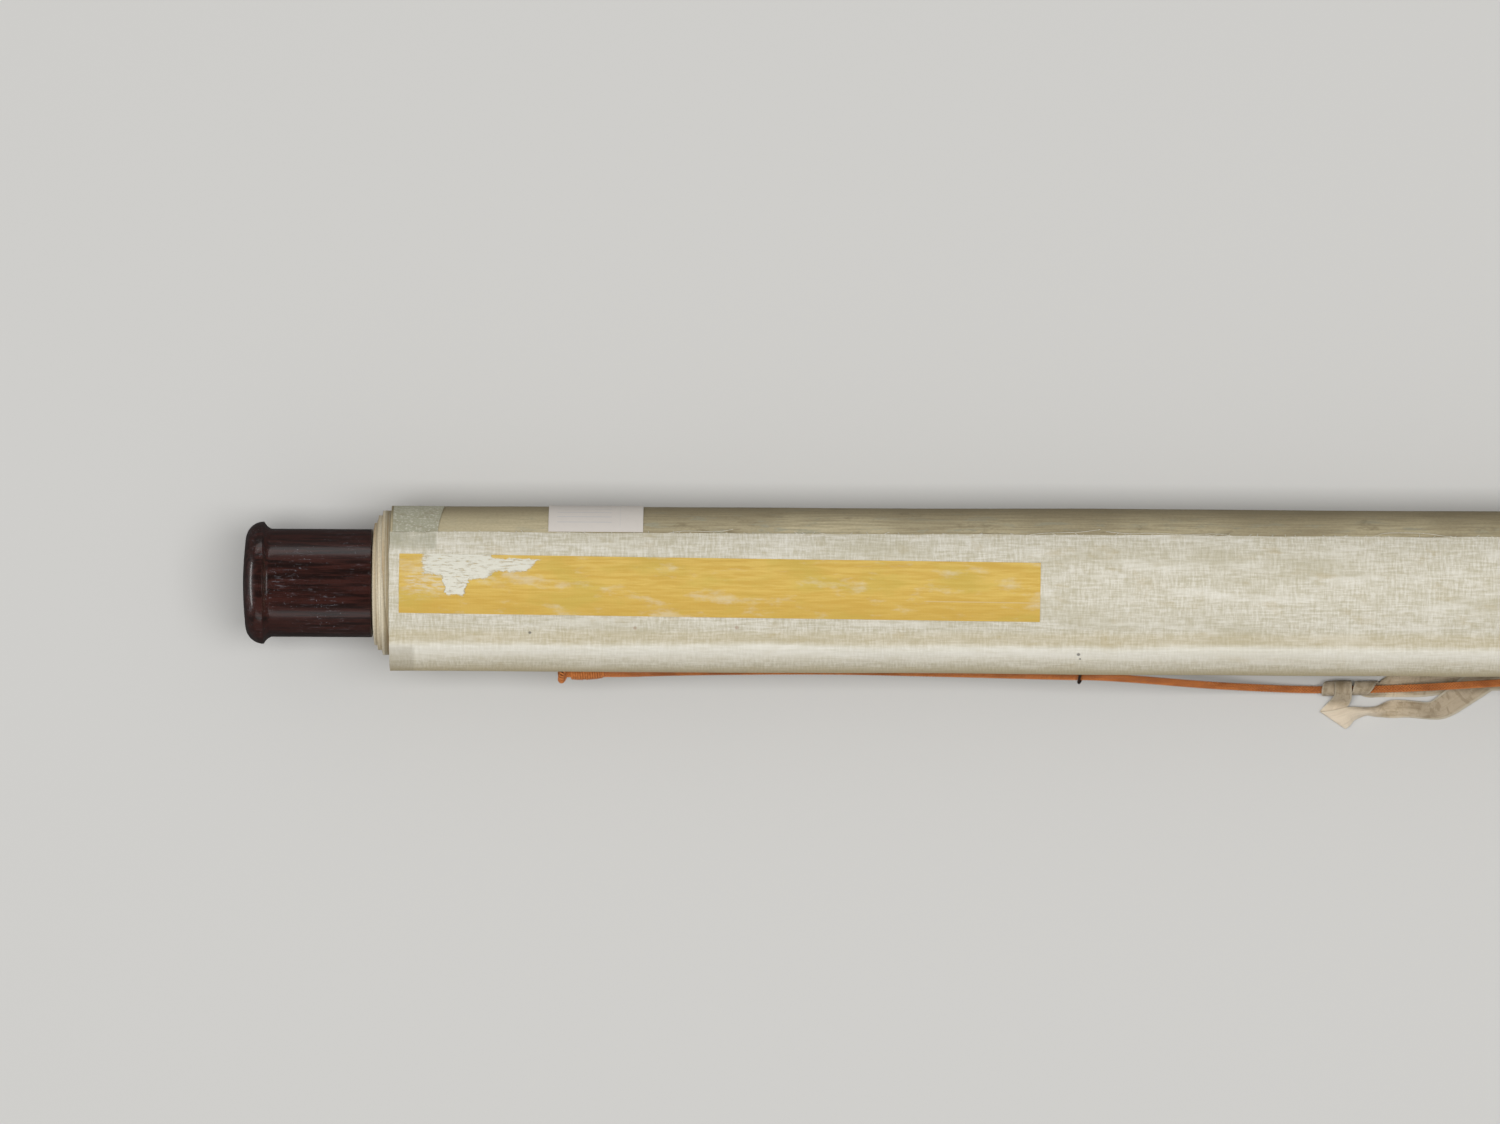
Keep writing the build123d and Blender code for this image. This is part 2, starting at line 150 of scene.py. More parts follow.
class ScrollColours(bpy.types.PropertyGroup):
    """The colours of the scroll's finishes and of the floor."""

    cloth: colour("Cloth", "Cover cloth", 222, 216, 198)
    cloth_shade: colour("Cloth shade", "Darker threads and stains of the cover cloth", 196, 188, 160)
    # Also the colour of the painted highlight on the shoulder over the stave.
    cloth_pale: colour("Pale cloth", "Slubs and worn places of the cover cloth", 246, 242, 230)
    # Real soil, and also the colour of the painted shade in the valley beside the stave, on the bump's lower
    # side and towards the floor.
    cloth_soil_and_shade: colour("Cloth soil", "Yellowish soil on the cover cloth", 190, 172, 126)
    backing: colour("Backing", "Back of the mounted sheet beyond the cloth", 212, 199, 164)
    # Real streaks, and also the colour of the painted shade on the backing: on the side away from the stave, in
    # the darkest lines between the slid-out turns, and beside the loose turn's edge.
    backing_shade: colour("Backing shade", "Darker streaks of the backing", 140, 127, 98)
    paper_edge: colour("Paper edge", "Edges of the sheet's turns", 238, 228, 204)
    paper_edge_shade: colour("Paper edge shade", "Soiled edges of the sheet's turns", 196, 176, 138)
    silk_edge: colour("Silk edge", "Orange-brown edge of the last turn under the loose one", 186, 138, 84)
    slip: colour("Slip", "Yellow title slip", 228, 194, 104)
    slip_shade: colour("Slip shade", "Deeper yellow of the title slip", 212, 172, 80)
    slip_olive: colour("Olive slip", "Greener yellow of the title slip", 206, 182, 88)
    slip_worn: colour("Worn slip", "Pale layer under the slip's yellow face", 232, 229, 214)
    label: colour("Label", "White shelf label", 224, 217, 209)
    label_line: colour("Label line", "Ruled lines of the label", 176, 180, 190)
    patch: colour("Patch", "Grey-green corner patch", 176, 174, 152)
    knob: colour("Knob", "Dark ground of the knob's wood", 32, 17, 14)
    knob_grain: colour("Knob grain", "Redder grain of the knob's wood", 66, 32, 26)
    bare_wood: colour("Bare wood", "Wood of the stave and the rod", 170, 138, 96)
    iron: colour("Iron", "Eyelet wire", 66, 64, 62)
    rust: colour("Rust", "Rust on the eyelet wire", 92, 58, 38)
    cord: colour("Cord", "Orange-tan cord", 206, 130, 71)
    cord_shade: colour("Cord shade", "Darker fibres of the cord", 146, 83, 43)
    tape: colour("Tape", "Beige ribbon", 224, 205, 176)
    # This colour is a painted highlight on the ribbon's front loop.
    tape_lit: colour("Pale tape", "Cleaner places of the ribbon", 246, 230, 206)
    # Real soil, and also the colour of the painted shade in the ribbon's wrinkles.
    tape_shade: colour("Tape shade", "Soiled threads of the ribbon", 166, 145, 112)
    floor: colour("Floor", "Pale floor", 206, 205, 202)


def sizes():
    return bpy.context.scene.scroll_sizes


def colours():
    return bpy.context.scene.scroll_colours


# Shader expressions, with places and depths in millimetres


class Wire:
    """A shader socket in a Python expression, where each operator adds its Math node."""

    def __init__(self, paint, socket):
        self.paint = paint
        self.socket = socket

    def math(self, operation, *others):
        return self.paint.node("Math", {"operation": operation}, dict(enumerate((self, *others))))

    __add__ = __radd__ = partialmethod(math, "ADD")
    __mul__ = __rmul__ = partialmethod(math, "MULTIPLY")
    __sub__ = partialmethod(math, "SUBTRACT")
    __truediv__ = partialmethod(math, "DIVIDE")
    __abs__ = partialmethod(math, "ABSOLUTE")
    sine = partialmethod(math, "SINE")
    wrapped = partialmethod(math, "FRACT")
    most = partialmethod(math, "MAXIMUM")

    def __rsub__(self, other):
        return self.paint.node("Math", {"operation": "SUBTRACT"}, {0: other, 1: self})

    def rise(self, low, high):
        """0 below low, 1 above high, and smooth between."""
        sockets = {"Value": self, "From Min": low, "From Max": high}
        return self.paint.node("MapRange", {"interpolation_type": "SMOOTHSTEP"}, sockets)

    def fall(self, low, high):
        """1 below low, 0 above high, and smooth between."""
        return 1 - self.rise(low, high)

    def within(self, low, high, soft):
        """1 between low and high, with soft borders."""
        return self.rise(low - soft, low + soft) * self.fall(high - soft, high + soft)


class Paint:
    """A material or a world that is put together from expressions on its sockets."""

    def __init__(self, name, kind="materials"):
        self.made = getattr(bpy.data, kind).new(name)
        self.made.use_nodes = True
        self.tree = self.made.node_tree
        self.tree.nodes.clear()

    def node(self, kind, settings, inputs, out=0):
        """A node of any kind: its settings come first, then the values or links of its sockets."""
        made = self.tree.nodes.new("ShaderNode" + kind)
        for key, value in settings.items():
            setattr(made, key, value)
        for key, value in inputs.items():
            self.feed(made.inputs[key], value)
        return Wire(self, made.outputs[out]) if made.outputs else None

    def feed(self, socket, value):
        """Links a socket or sets its value. A colour may be given by its name in ScrollColours."""
        if isinstance(value, Wire):
            self.tree.links.new(value.socket, socket)
        elif socket.type == "RGBA":
            tone = getattr(colours(), value) if isinstance(value, str) else value
            socket.default_value = (*tone[:3], 1)
        else:
            socket.default_value = value

    def in_space(self):
        """The grains that follow keep to the object's own frame."""
        self.place = self.node("TexCoord", {}, {}, "Object")

    def on_sheet(self):
        """The grains that follow run along the sheet. Gives the places along the roll and along the arc."""
        self.place = self.node("UVMap", {"uv_map": "UVMap"}, {})
        return self.parts("XY")

    def parts(self, axes):
        """The parts of the place along some axes."""
        return [self.node("SeparateXYZ", {}, {0: self.place}, axis) * (1 / MM) for axis in axes]

    def grain(self, per_metre, detail, roughness, seed=0.0):
        """Noise from 0 to 1 with that many features to the metre along each axis, two of them on a sheet."""
        spread = {"Vector": self.place, "Scale": (*per_metre, 1)[:3], "Location": (seed, seed, seed)}
        noise_kind = {"Scale": 1, "Detail": detail, "Roughness": roughness}
        return self.node("TexNoise", {}, {"Vector": self.node("Mapping", {}, spread), **noise_kind})

    def coats(self, base, *layers):
        """A colour under layers, given from the lowest up as a colour and its share."""
        for tone, share in layers:
            base = self.node("Mix", {"data_type": "RGBA"}, {0: share, 6: base, 7: tone}, 2)
        return base

    def done(self, base, roughness, height=None, depth=0.0, **fixed):
        """The finished material. What is fixed over the surface is set on the shader's own sockets."""
        inputs = {"Base Color": base, "Roughness": roughness}
        if height is not None:
            inputs["Normal"] = self.node("Bump", {}, {"Height": height, "Distance": depth * MM, "Strength": 1})
        for key, value in fixed.items():
            inputs[key.replace("_", " ").title().replace("Ior", "IOR")] = value
        self.node("OutputMaterial", {}, {"Surface": self.node("BsdfPrincipled", {}, inputs)})
        return self.made


# A layer of this only darkens what is under it
SHADE = (0, 0, 0)
TAPE_PITCH = 0.42


def weave(along, across, pitch):
    """The height of a plain weave, about 0 to 1, with slightly uneven threads."""
    warp, weft = ((way * (pi / pitch)).sine() for way in (along, across))
    warp_twice, weft_twice = ((way * (2 * pi / pitch)).sine() for way in (along, across))
    return (abs(warp) + abs(weft)) * 0.4 + warp_twice * weft_twice * 0.15


def cloth_weave(along, across):
    return weave(along, across, sizes().weave_pitch / MM)


# Small marks on the cloth as (along from the left edge, arc, radius) in millimetres, dark ones and rusty ones
DARK_MARKS = [(49, 17.2, 0.7), (240, 24, 0.8), (240.6, 26, 0.5)]
RUSTY_MARKS = [(121, 14.6, 0.9), (85.6, 15, 0.8)]


def spot(along, across, mark):
    """1 on a small round mark and 0 away from it."""
    aside, off = along - mark[0], across - mark[1]
    return (aside * aside + off * off).fall((0.4 * mark[2]) ** 2, mark[2] ** 2)


def cloth_paint():
    """The cover cloth: a pale plain weave with slubs, faint stains, small marks and some soil, a painted
    highlight on the shoulder over the stave, and painted shade in the valley beside it and towards the floor.
    """
    paint = Paint("cover_cloth_weave")
    along, across = paint.on_sheet()
    threads = cloth_weave(along, across)
    slubs = (paint.grain((150, 1300), 4, 0.65) + paint.grain((1300, 210), 4, 0.65, 5.0)) * 0.5
    stains = paint.grain((16, 60), 3, 0.6, 9.0)
    blots = paint.grain((70, 130), 4, 0.7, 2.0)
    clouds = paint.grain((34, 190), 3, 0.6, 14.0)
    uneven = across + (stains - 0.5) * 2.5 + (clouds - 0.5) * 1.5
    # The shoulder over the stave gets a painted highlight, and the valley beside it gets painted shade.
    shoulder = uneven.rise(20, 22.2)
    valley = uneven.rise(14.5, 18.5) * (1 - shoulder) * 0.34
    patch_under = along.within(-1, 16.2, 0.9) * across.within(-20, -12.6, 0.9)
    stave_corner = along.within(-1, 8.5, 0.8) * across.within(22, 40, 0.9)
    base = paint.coats(
        "cloth",
        ("cloth_shade", slubs.rise(0.46, 0.62) * 0.75),
        ("cloth_pale", slubs.fall(0.4, 0.5) * 0.55),
        ("cloth_shade", stains.rise(0.48, 0.7) * 0.5),
        ("cloth_pale", clouds.rise(0.5, 0.68) * 0.5),
        ("cloth_soil_and_shade", blots.rise(0.54, 0.72) * 0.4),
        # Painted highlight on the shoulder over the stave.
        ("cloth_pale", shoulder * uneven.fall(24.5, 30.5) * 0.58),
        # Painted shade in the valley and on the side turned down towards the floor.
        ("cloth_soil_and_shade", valley.most(uneven.rise(28.5, 37) * 0.85)),
        # Painted shade on the lower side of the stave's bump.
        ("cloth_soil_and_shade", uneven.rise(23.5, 27.5) * 0.16),
        ("patch", patch_under * (blots.rise(0.3, 0.6) * 0.5 + 0.2)),
        ("backing_shade", stave_corner * 0.3),
        *(("iron", spot(along, across, mark) * 0.7) for mark in DARK_MARKS),
        *(("cord_shade", spot(along, across, mark) * 0.4) for mark in RUSTY_MARKS),
        (SHADE, (1 - threads) * 0.12),
    )
    sheen = {"sheen_weight": 0.15, "sheen_roughness": 0.5}
    return paint.done(base, 0.9, threads + slubs * 2, 0.16, specular_ior_level=0.2, **sheen)


def backing_paint():
    """The back of the sheet: olive grey, streaked along the roll, in panels of slightly different tone, with
    painted shade on the side away from the stave.

    What has slid out at the left end is the cleaner cream of the inner turns, with painted shade in its darkest
    lines between the turns and in the strip beside the loose turn's edge."""
    paint = Paint("sheet_backing")
    along, across = paint.on_sheet()
    streaks = paint.grain((45, 900), 4, 0.65)
    panels = paint.grain((24, 6), 1, 0.4, 3.0)
    fibres = paint.grain((900, 1100), 3, 0.65)
    worn = paint.grain((80, 300), 4, 0.7, 6.0)
    blots = paint.grain((60, 110), 4, 0.7, 11.0)
    lines = paint.grain((1000, 9), 4, 0.75, 4.0)
    backing = paint.coats(
        "backing",
        ("backing_shade", streaks.rise(0.42, 0.64) * 0.5),
        ("backing_shade", panels.rise(0.45, 0.58) * 0.35),
        ("patch", worn.rise(0.52, 0.66) * 0.7),
        ("cloth_shade", streaks.rise(0.6, 0.68) * 0.5),
        ("backing_shade", blots.rise(0.56, 0.7) * 0.6),
        ("backing_shade", along.rise(170, 260) * 0.22),
        ("backing", along.fall(25, 90) * 0.7),
        # Painted shade on the side of the roll away from the stave, where it turns from the light.
        ("backing_shade", across.fall(-36, -22.5) * 0.74),
    )
    base = paint.coats(
        "paper_edge",
        ("paper_edge_shade", lines.rise(0.4, 0.56) * 0.7),
        ("silk_edge", lines.rise(0.54, 0.6) * 0.5),
        # The darkest of these lines are painted shade between the turns.
        ("backing_shade", lines.rise(0.6, 0.66) * 0.9),
        # Painted shade in the strip beside the loose turn's edge.
        ("backing_shade", along.within(-1.9, -0.2, 0.5) * 0.5),
        (backing, along.rise(-0.5, 0.2)),
        (SHADE, (1 - fibres) * 0.34),
    )
    return paint.done(base, 0.85, streaks + fibres * 0.8, 0.14, specular_ior_level=0.25)


def edge_paint():
    """The sheet's cut edges: cream layers, soiled in places, with an orange-brown silk edge outside."""
    paint = Paint("sheet_edges")
    paint.in_space()
    layers = paint.grain((300, 3500, 3500), 2, 0.6)
    _, across = paint.on_sheet()
    base = paint.coats(
        "paper_edge",
        ("paper_edge_shade", paint.grain((30, 60), 3, 0.6).rise(0.45, 0.75) * 0.7),
        ("silk_edge", across.within(-290, -136, 4) * 0.6),
        (SHADE, (1 - layers) * 0.3),
    )
    return paint.done(base, 0.9, layers, 0.1, specular_ior_level=0.2)


def worn_off(along, across):
    """1 where the slip's yellow face has flaked off: a broad place with a tongue, and a strip that runs on."""
    tongue = along.rise(14.6, 16.6) - along.rise(22.2, 24.2)
    shelf = along.rise(22, 24) - along.rise(28, 34)
    strip = along.rise(30.5, 33.5)
    low = tongue * 6.9 + shelf * 1.6 - strip * 1.2 + 6.8
    high = strip * 2.1 - 1
    end = 48 - (across - 2) * 1.2
    inside = (across - high).rise(-0.3, 0.3) * (across - low).fall(-0.4, 0.4)
    return inside * along.rise(7.6, 8.6) * (along - end).fall(-0.6, 0.6)


def slip_paint():
    """The title slip: streaky yellow paper, with its face worn off at the left to a pale fibrous layer."""
    paint = Paint("slip_yellow")
    along, across = paint.on_sheet()
    threads = cloth_weave(along, across)
    fibres = paint.grain((260, 1500), 4, 0.7, 12.0)
    wander = (paint.grain((260, 600), 4, 0.7) - 0.5) * 4.5
    stray = (paint.grain((330, 420), 4, 0.7, 8.0) - 0.5) * 3
    streaks = paint.grain((60, 800), 4, 0.65)
    mottle = paint.grain((60, 170), 4, 0.65, 4.0)
    tints = paint.grain((40, 90), 3, 0.6, 16.0)
    worn = worn_off(along + wander, across + stray) * (1 - fibres.rise(0.52, 0.7) * 0.6)
    thin = (along + wander * 2).within(2, 17, 3) * (across + stray * 2).within(5, 13, 2.5)
    crease = along.within(183, 224, 1) * across.within(13.5, 13.5, 0.3)
    base = paint.coats(
        "slip",
        ("slip_shade", streaks.rise(0.38, 0.62) * 0.8),
        ("slip_shade", across.rise(9, 17) * 0.5),
        ("slip_olive", tints.rise(0.48, 0.66) * 0.5),
        ("slip_worn", mottle.rise(0.52, 0.72) * 0.36),
        ("slip_worn", thin * fibres.rise(0.4, 0.6) * 0.5),
        ("slip_worn", crease),
        ("slip_worn", worn),
        (SHADE, (1 - threads) * 0.1 + fibres * 0.07),
    )
    height = streaks * 0.9 + threads * 0.6 + fibres * 0.8 - worn * 1.5
    return paint.done(base, 0.72, height, 0.14, specular_ior_level=0.3)


def label_paint():
    """The shelf label: white paper with a ruled frame and writing lines, left blank."""
    paint = Paint("label_white")
    along, across = paint.on_sheet()
    fibres = paint.grain((500, 500), 3, 0.6)
    stains = paint.grain((60, 90), 2, 0.6)
    line = 0.12
    ruled = (across / 3.2).wrapped().within(0.46, 0.54, 0.02) * along.within(3, 22, line)
    frame_lines = ruled.most(along.within(25, 25, line * 2)) * across.within(2, 19, line)
    base = paint.coats(
        "label",
        (SHADE, (1 - fibres) * 0.06 + stains * 0.05),
        ("label_line", frame_lines * 0.6),
    )
    return paint.done(base, 0.6, fibres, 0.05, specular_ior_level=0.35)


def patch_paint():
    """A corner patch: thin grey-green paper that the backing's weave shows through."""
    paint = Paint("patch_grey_green")
    threads = cloth_weave(*paint.on_sheet())
    tone = paint.grain((120, 300), 4, 0.7)
    slubs = paint.grain((900, 1100), 3, 0.65, 3.0)
    base = paint.coats(
        "patch",
        ("backing_shade", tone.rise(0.46, 0.66) * 0.4),
        ("cloth_pale", slubs.fall(0.36, 0.5) * 0.35),
        (SHADE, (1 - threads) * 0.14),
    )
    return paint.done(base, 0.85, threads + tone, 0.08, specular_ior_level=0.25)


def knob_paint():
    """Dark lacquered hardwood: grain along the roll, a clear coat, and rubbed and scratched places."""
    paint = Paint("knob_hardwood")
    paint.in_space()
    grain = paint.grain((45, 700, 700), 5, 0.7)
    bands = paint.grain((12, 130, 130), 3, 0.5, 2.0)
    scratches = paint.grain((190, 1500, 1500), 4, 0.75, 7.0)
    specks = paint.grain((900, 900, 900), 3, 0.7, 3.0)
    rub_place = paint.grain((60, 60, 60), 3, 0.6).rise(0.42, 0.58)
    rubbed = scratches.rise(0.57, 0.68) * rub_place
    specked = specks.rise(0.63, 0.7) * rub_place
    base = paint.coats(
        "knob",
        ("knob_grain", grain.rise(0.4, 0.6) * 0.75),
        ("knob_grain", bands.rise(0.45, 0.7) * 0.6),
        ("label_line", (rubbed * 0.2).most(specked * 0.3)),
    )
    roughness = 0.28 + grain * 0.14 + rubbed * 0.25
    coat = {"coat_weight": 0.7, "coat_roughness": 0.14}
    return paint.done(base, roughness, grain * 0.6 - rubbed * 0.5, 0.035, specular_ior_level=0.45, **coat)


def bare_wood_paint():
    """Plain planed wood, with the grain along the roll."""
    paint = Paint("bare_wood")
    paint.in_space()
    grain = paint.grain((12, 500, 500), 4, 0.6)
    base = paint.coats("bare_wood", ("paper_edge_shade", grain.rise(0.35, 0.7)), (SHADE, grain * 0.3))
    return paint.done(base, 0.7, grain, 0.06)


def iron_paint():
    """Dull wire with rust in patches."""
    paint = Paint("eyelet_iron")
    paint.in_space()
    rust = paint.grain((900, 900, 900), 4, 0.65).rise(0.45, 0.6)
    base = paint.coats("iron", ("rust", rust))
    return paint.done(base, 0.42 + rust * 0.4, rust, 0.05, metallic=0.9 - rust * 0.7)


def cord_paint():
    """Orange-tan cord: fibres that run along each strand, darker in places."""
    paint = Paint("cord_fibres")
    paint.in_space()
    wear = paint.grain((60, 200, 200), 3, 0.6)
    paint.on_sheet()
    fibres = paint.grain((900, 5200), 3, 0.6)
    base = paint.coats(
        "cord",
        ("cord_shade", fibres.rise(0.4, 0.7)),
        ("cord_shade", wear.rise(0.42, 0.7) * 0.65),
    )
    sheen = {"sheen_weight": 0.1, "sheen_roughness": 0.4}
    return paint.done(base, 0.8, fibres, 0.08, specular_ior_level=0.25, **sheen)


def tape_paint():
    """The ribbon: a fine beige weave, soiled in places, with paler edges, a painted highlight on its front
    loop, and painted shade in its wrinkles, on the hitch and on the tails.
    """
    paint = Paint("tape_weave")
    paint.in_space()
    x, y = paint.parts("XY")
    along, across = paint.on_sheet()
    threads = weave(along, across, TAPE_PITCH)
    soil = paint.grain((90, 160), 4, 0.6)
    lines = paint.grain((120, 2200), 2, 0.6)
    wrinkles = paint.grain((420, 150), 3, 0.65, 6.0)
    # Painted highlight on the ribbon's front loop.
    lit_loop = x.within(-4, 18, 4) * y.fall(-43, -40.5)
    # Painted shade on the hitch and on the tails.
    hitch = x.within(-4, 22, 3) * y.rise(-42, -39.5)
    tails = x.rise(22, 38)
    middle = across.within(0.8, sizes().tape_width / MM - 0.8, 0.2)
    base = paint.coats(
        "tape",
        ("tape_shade", soil.rise(0.42, 0.72) * 0.8),
        # Painted highlight on the front loop.
        ("tape_lit", lit_loop * 0.8),
        ("tape_shade", lines.rise(0.5, 0.8) * 0.4),
        # Painted shade in the wrinkles, left off the lit loop.
        ("tape_shade", wrinkles.rise(0.52, 0.62) * (1 - lit_loop) * 0.45),
        ("paper_edge", (1 - middle) * (tails * 0.4 + 0.35)),
        (SHADE, (1 - threads) * 0.2),
        # Painted shade on the hitch and the tails.
        (SHADE, hitch.most(tails) * 0.3),
    )
    height = threads + lines * 2 + wrinkles * 5
    return paint.done(base, 0.9, height, 0.12, sheen_weight=0.15, sheen_roughness=0.5)


# Lines and the roll's section


def waver(x, y, z=0.0):
    """A smooth random value about 0, which stays the same from run to run."""
    return noise.noise(Vector((x, y, z)))


def between(value, low, high):
    return min(max(value, low), high)


def distances(line):
    """How far along a line each of its points is."""
    return [0.0, *accumulate((second - first).length for first, second in zip(line, line[1:]))]


def run_at(line, index):
    """The way that a line runs at one of its points, not of unit length."""
    return line[min(index + 1, len(line) - 1)] - line[max(index - 1, 0)]


def level_side(run, least):
    """The level direction square to a run, or +Y where the run is too steep for one."""
    side = Vector((0, 0, 1)).cross(run)
    return side.normalized() if side.length > least else Vector((0, 1, 0))


def found(values, target):
    """Where a target lies in rising values: the index after it, and its share of the step to there."""
    after = between(bisect_left(values, target), 1, len(values) - 1)
    return after, (target - values[after - 1]) / max(values[after] - values[after - 1], 1e-9)


def evenly(points, step):
    """The line again, with points about a step apart."""
    along = distances(points)
    count = max(1, round(along[-1] / step))
    places = [found(along, along[-1] * index / count) for index in range(count + 1)]
    return [points[after - 1].lerp(points[after], share) for after, share in places]


def softened(points, passes):
    """The line with its corners rounded, and its ends where they were."""
    for _ in range(passes):
        middles = [(a + b * 2 + c) / 4 for a, b, c in zip(points, points[1:], points[2:])]
        points = [points[0], *middles, points[-1]]
    return points


def smooth_line(points, step, least=1, size=lambda run: run.length):
    """A curve through points, as a line with points about a step apart."""
    padded = [points[0], *points, points[-1]]
    line = []
    for before, start, end, after in zip(padded, padded[1:], padded[2:], padded[3:]):
        once = end - before
        twice = 2 * before - 5 * start + 4 * end - after
        thrice = 3 * start - before - 3 * end + after
        count = max(least, ceil(size(end - start) / step))
        for t in (index / count for index in range(count)):
            line.append(0.5 * (2 * start + once * t + twice * t**2 + thrice * t**3))
    return line + [points[-1]]


def around(radius, angle):
    """A point of the section as (Y, Z)."""
    return Vector((-radius * sin(radians(angle)), AXIS_HEIGHT + radius * cos(radians(angle))))


def on_stave(across, out):
    """A point as (Y, Z), from one `across` the stave, towards the top, and one `out` from the roll's axis."""
    turn = radians(STAVE_ANGLE)
    return Vector((across * cos(turn) - out * sin(turn), AXIS_HEIGHT + across * sin(turn) + out * cos(turn)))


def outer_turn_radius():
    return ROLL_RADIUS - sizes().sheet_thickness / 2


def group_radius():
    return outer_turn_radius() - sizes().sheet_thickness - sizes().loose_gap


def distance_at(start, end, back):
    """How far a half turn between two distances from the axis is from it, `back` degrees before its end."""
    radius = (start + end) / 2
    shift = (end - start) / 2
    return shift * cos(radians(back)) + sqrt(radius**2 - (shift * sin(radians(back))) ** 2)


def pocket_wall():
    return STAVE_ROOM + sizes().sheet_thickness


def stave_seat():
    lag = OUTER_TURN_START - STAVE_ANGLE
    below = distance_at(group_radius(), outer_turn_radius(), lag) + sizes().sheet_thickness / 2
    return below + sizes().turn_gap + pocket_wall()


FINE_STEP = 0.3 * MM
LINE_STEP = MM
SOFT_PASSES = 6
FOOT_SHARE = 0.6


def outer_line():
    """The sheet's outer face from the start of the outer turn to the end of the stave's pocket."""
    seat = stave_seat()
    wall = pocket_wall()
    half = STAVE_WIDTH / 2 + wall
    rise = STAVE_HEIGHT - STAVE_EDGE
    arch = ((STAVE_WIDTH / 2) ** 2 + rise**2) / (2 * rise)
    valley_angle = STAVE_ANGLE - degrees(atan2(half, seat)) - VALLEY_LEAD
    circle_end = valley_angle - degrees(VALLEY_RADIUS / 2 / ROLL_RADIUS)
    start = OUTER_TURN_START - 360
    steps = ceil(circle_end - start)
    points = [around(ROLL_RADIUS, start + (circle_end - start) * step / steps) for step in range(steps + 1)]
    for point in points:
        point.y = max(point.y, 0.0)
    valley = around(ROLL_RADIUS, valley_angle)
    shoulder = on_stave(half, seat + STAVE_EDGE)
    foot = valley.lerp(shoulder, FOOT_SHARE)
    for share in (step / 8 for step in range(1, 8)):
        points.append(points[steps].lerp(valley, share).lerp(valley.lerp(foot, share), share))
    points += [foot, shoulder]
    middle = seat + STAVE_HEIGHT - arch
    reach = asin((half - 0.3 * MM) / (arch + wall))
    for turn in (reach * (1 - step / 8) for step in range(17)):
        points.append(on_stave((arch + wall) * sin(turn), middle + (arch + wall) * cos(turn)))
    under = seat - wall
    points += [on_stave(-half, seat + STAVE_EDGE), on_stave(-half, under), on_stave(half - MM, under)]
    return evenly(softened(evenly(points, FINE_STEP), SOFT_PASSES), LINE_STEP)


class Skin:
    """The outer face of the outer turn, as arcs, points and outward normals."""

    def __init__(self):
        self.points = outer_line()
        top = self.nearest(around(ROLL_RADIUS, 0))
        arcs = distances(self.points)
        self.arcs = [arc - arcs[top] + self.points[top].x for arc in arcs]
        runs = [run_at(self.points, index) for index in range(len(self.points))]
        self.normals = [Vector((run.y, -run.x)).normalized() for run in runs]
        corner = on_stave(-STAVE_WIDTH / 2 - pocket_wall(), stave_seat() - pocket_wall())
        self.corner_arc = self.arcs[self.nearest(corner)]
        valley = around(ROLL_RADIUS, STAVE_ANGLE - degrees(atan2(STAVE_WIDTH / 2, stave_seat())))
        self.valley_arc = self.arcs[self.nearest(valley)]

    def nearest(self, place):
        """The index of the point that is nearest to a place."""
        return min(range(len(self.points)), key=lambda index: (self.points[index] - place).length)

    def ripple(self, x, arc):
        """How far the face stands out at a place: the loose turn waves, and the stave holds it straighter."""
        place = Vector((x * 13, arc * 34, 0.5))
        wave = 0.5 + 0.5 * noise.noise(place) + 0.25 * noise.noise(place * 2.9)
        held = 0.25 if arc > self.valley_arc else 1.0
        return sizes().ripple * wave * held

    def at(self, x, arc, lift):
        """A point on the face at X and arc, lifted off it."""
        after, share = found(self.arcs, arc)
        point = self.points[after - 1].lerp(self.points[after], share)
        normal = self.normals[after - 1].lerp(self.normals[after], share).normalized()
        off_floor = min(1.0, point.y / (10 * MM))
        out = lift + self.ripple(x, arc) * off_floor
        return Vector((x, point.x + normal.x * out, point.y + normal.y * out))


# Modelling helpers


def add(name, primitive, **settings):
    """A new primitive, light or camera under a name, with all else deselected."""
    bpy.ops.object.select_all(action="DESELECT")
    primitive(**settings)
    piece = bpy.context.active_object
    piece.name = name
    return piece


def only(piece):
    """Selects one object and makes it the active one."""
    bpy.ops.object.select_all(action="DESELECT")
    piece.select_set(True)
    bpy.context.view_layer.objects.active = piece
    return piece


def finish_piece(piece, material, slot, *nodes, smooth_angle=40):
    """Shades a piece, gives it its material and lets it ride in place of CAD nodes."""
    only(piece)
    bpy.ops.object.shade_smooth_by_angle(angle=radians(smooth_angle))
    if material is not None:
        piece.data.materials.clear()
        piece.data.materials.append(material)
    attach(piece, "root")
    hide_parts(*nodes)
    return piece


def lay_grid(name, columns, rows, place):
    """A flat grid whose points are laid at place(share along, share across), which gives (point, UV)."""
    piece = add(name, bpy.ops.mesh.primitive_grid_add, x_subdivisions=columns, y_subdivisions=rows, size=1)
    piece.data.name = name
    uvs = []
    for vertex in piece.data.vertices:
        vertex.co, uv = place(vertex.co.x + 0.5, vertex.co.y + 0.5)
        uvs.append(uv)
    layer = piece.data.uv_layers.active
    layer.name = "UVMap"
    for loop in piece.data.loops:
        layer.data[loop.index].uv = uvs[loop.vertex_index]
    return piece


def thicken(piece, thickness, offset=1.0, edge_slot=0):
    """Gives a laid sheet its thickness, towards the roll's axis if nothing else is said."""
    only(piece)
    solid = piece.modifiers.new("thickness", "SOLIDIFY")
    solid.thickness = thickness
    solid.offset = offset
    solid.material_offset_rim = edge_slot
    bpy.ops.object.modifier_apply(modifier=solid.name)


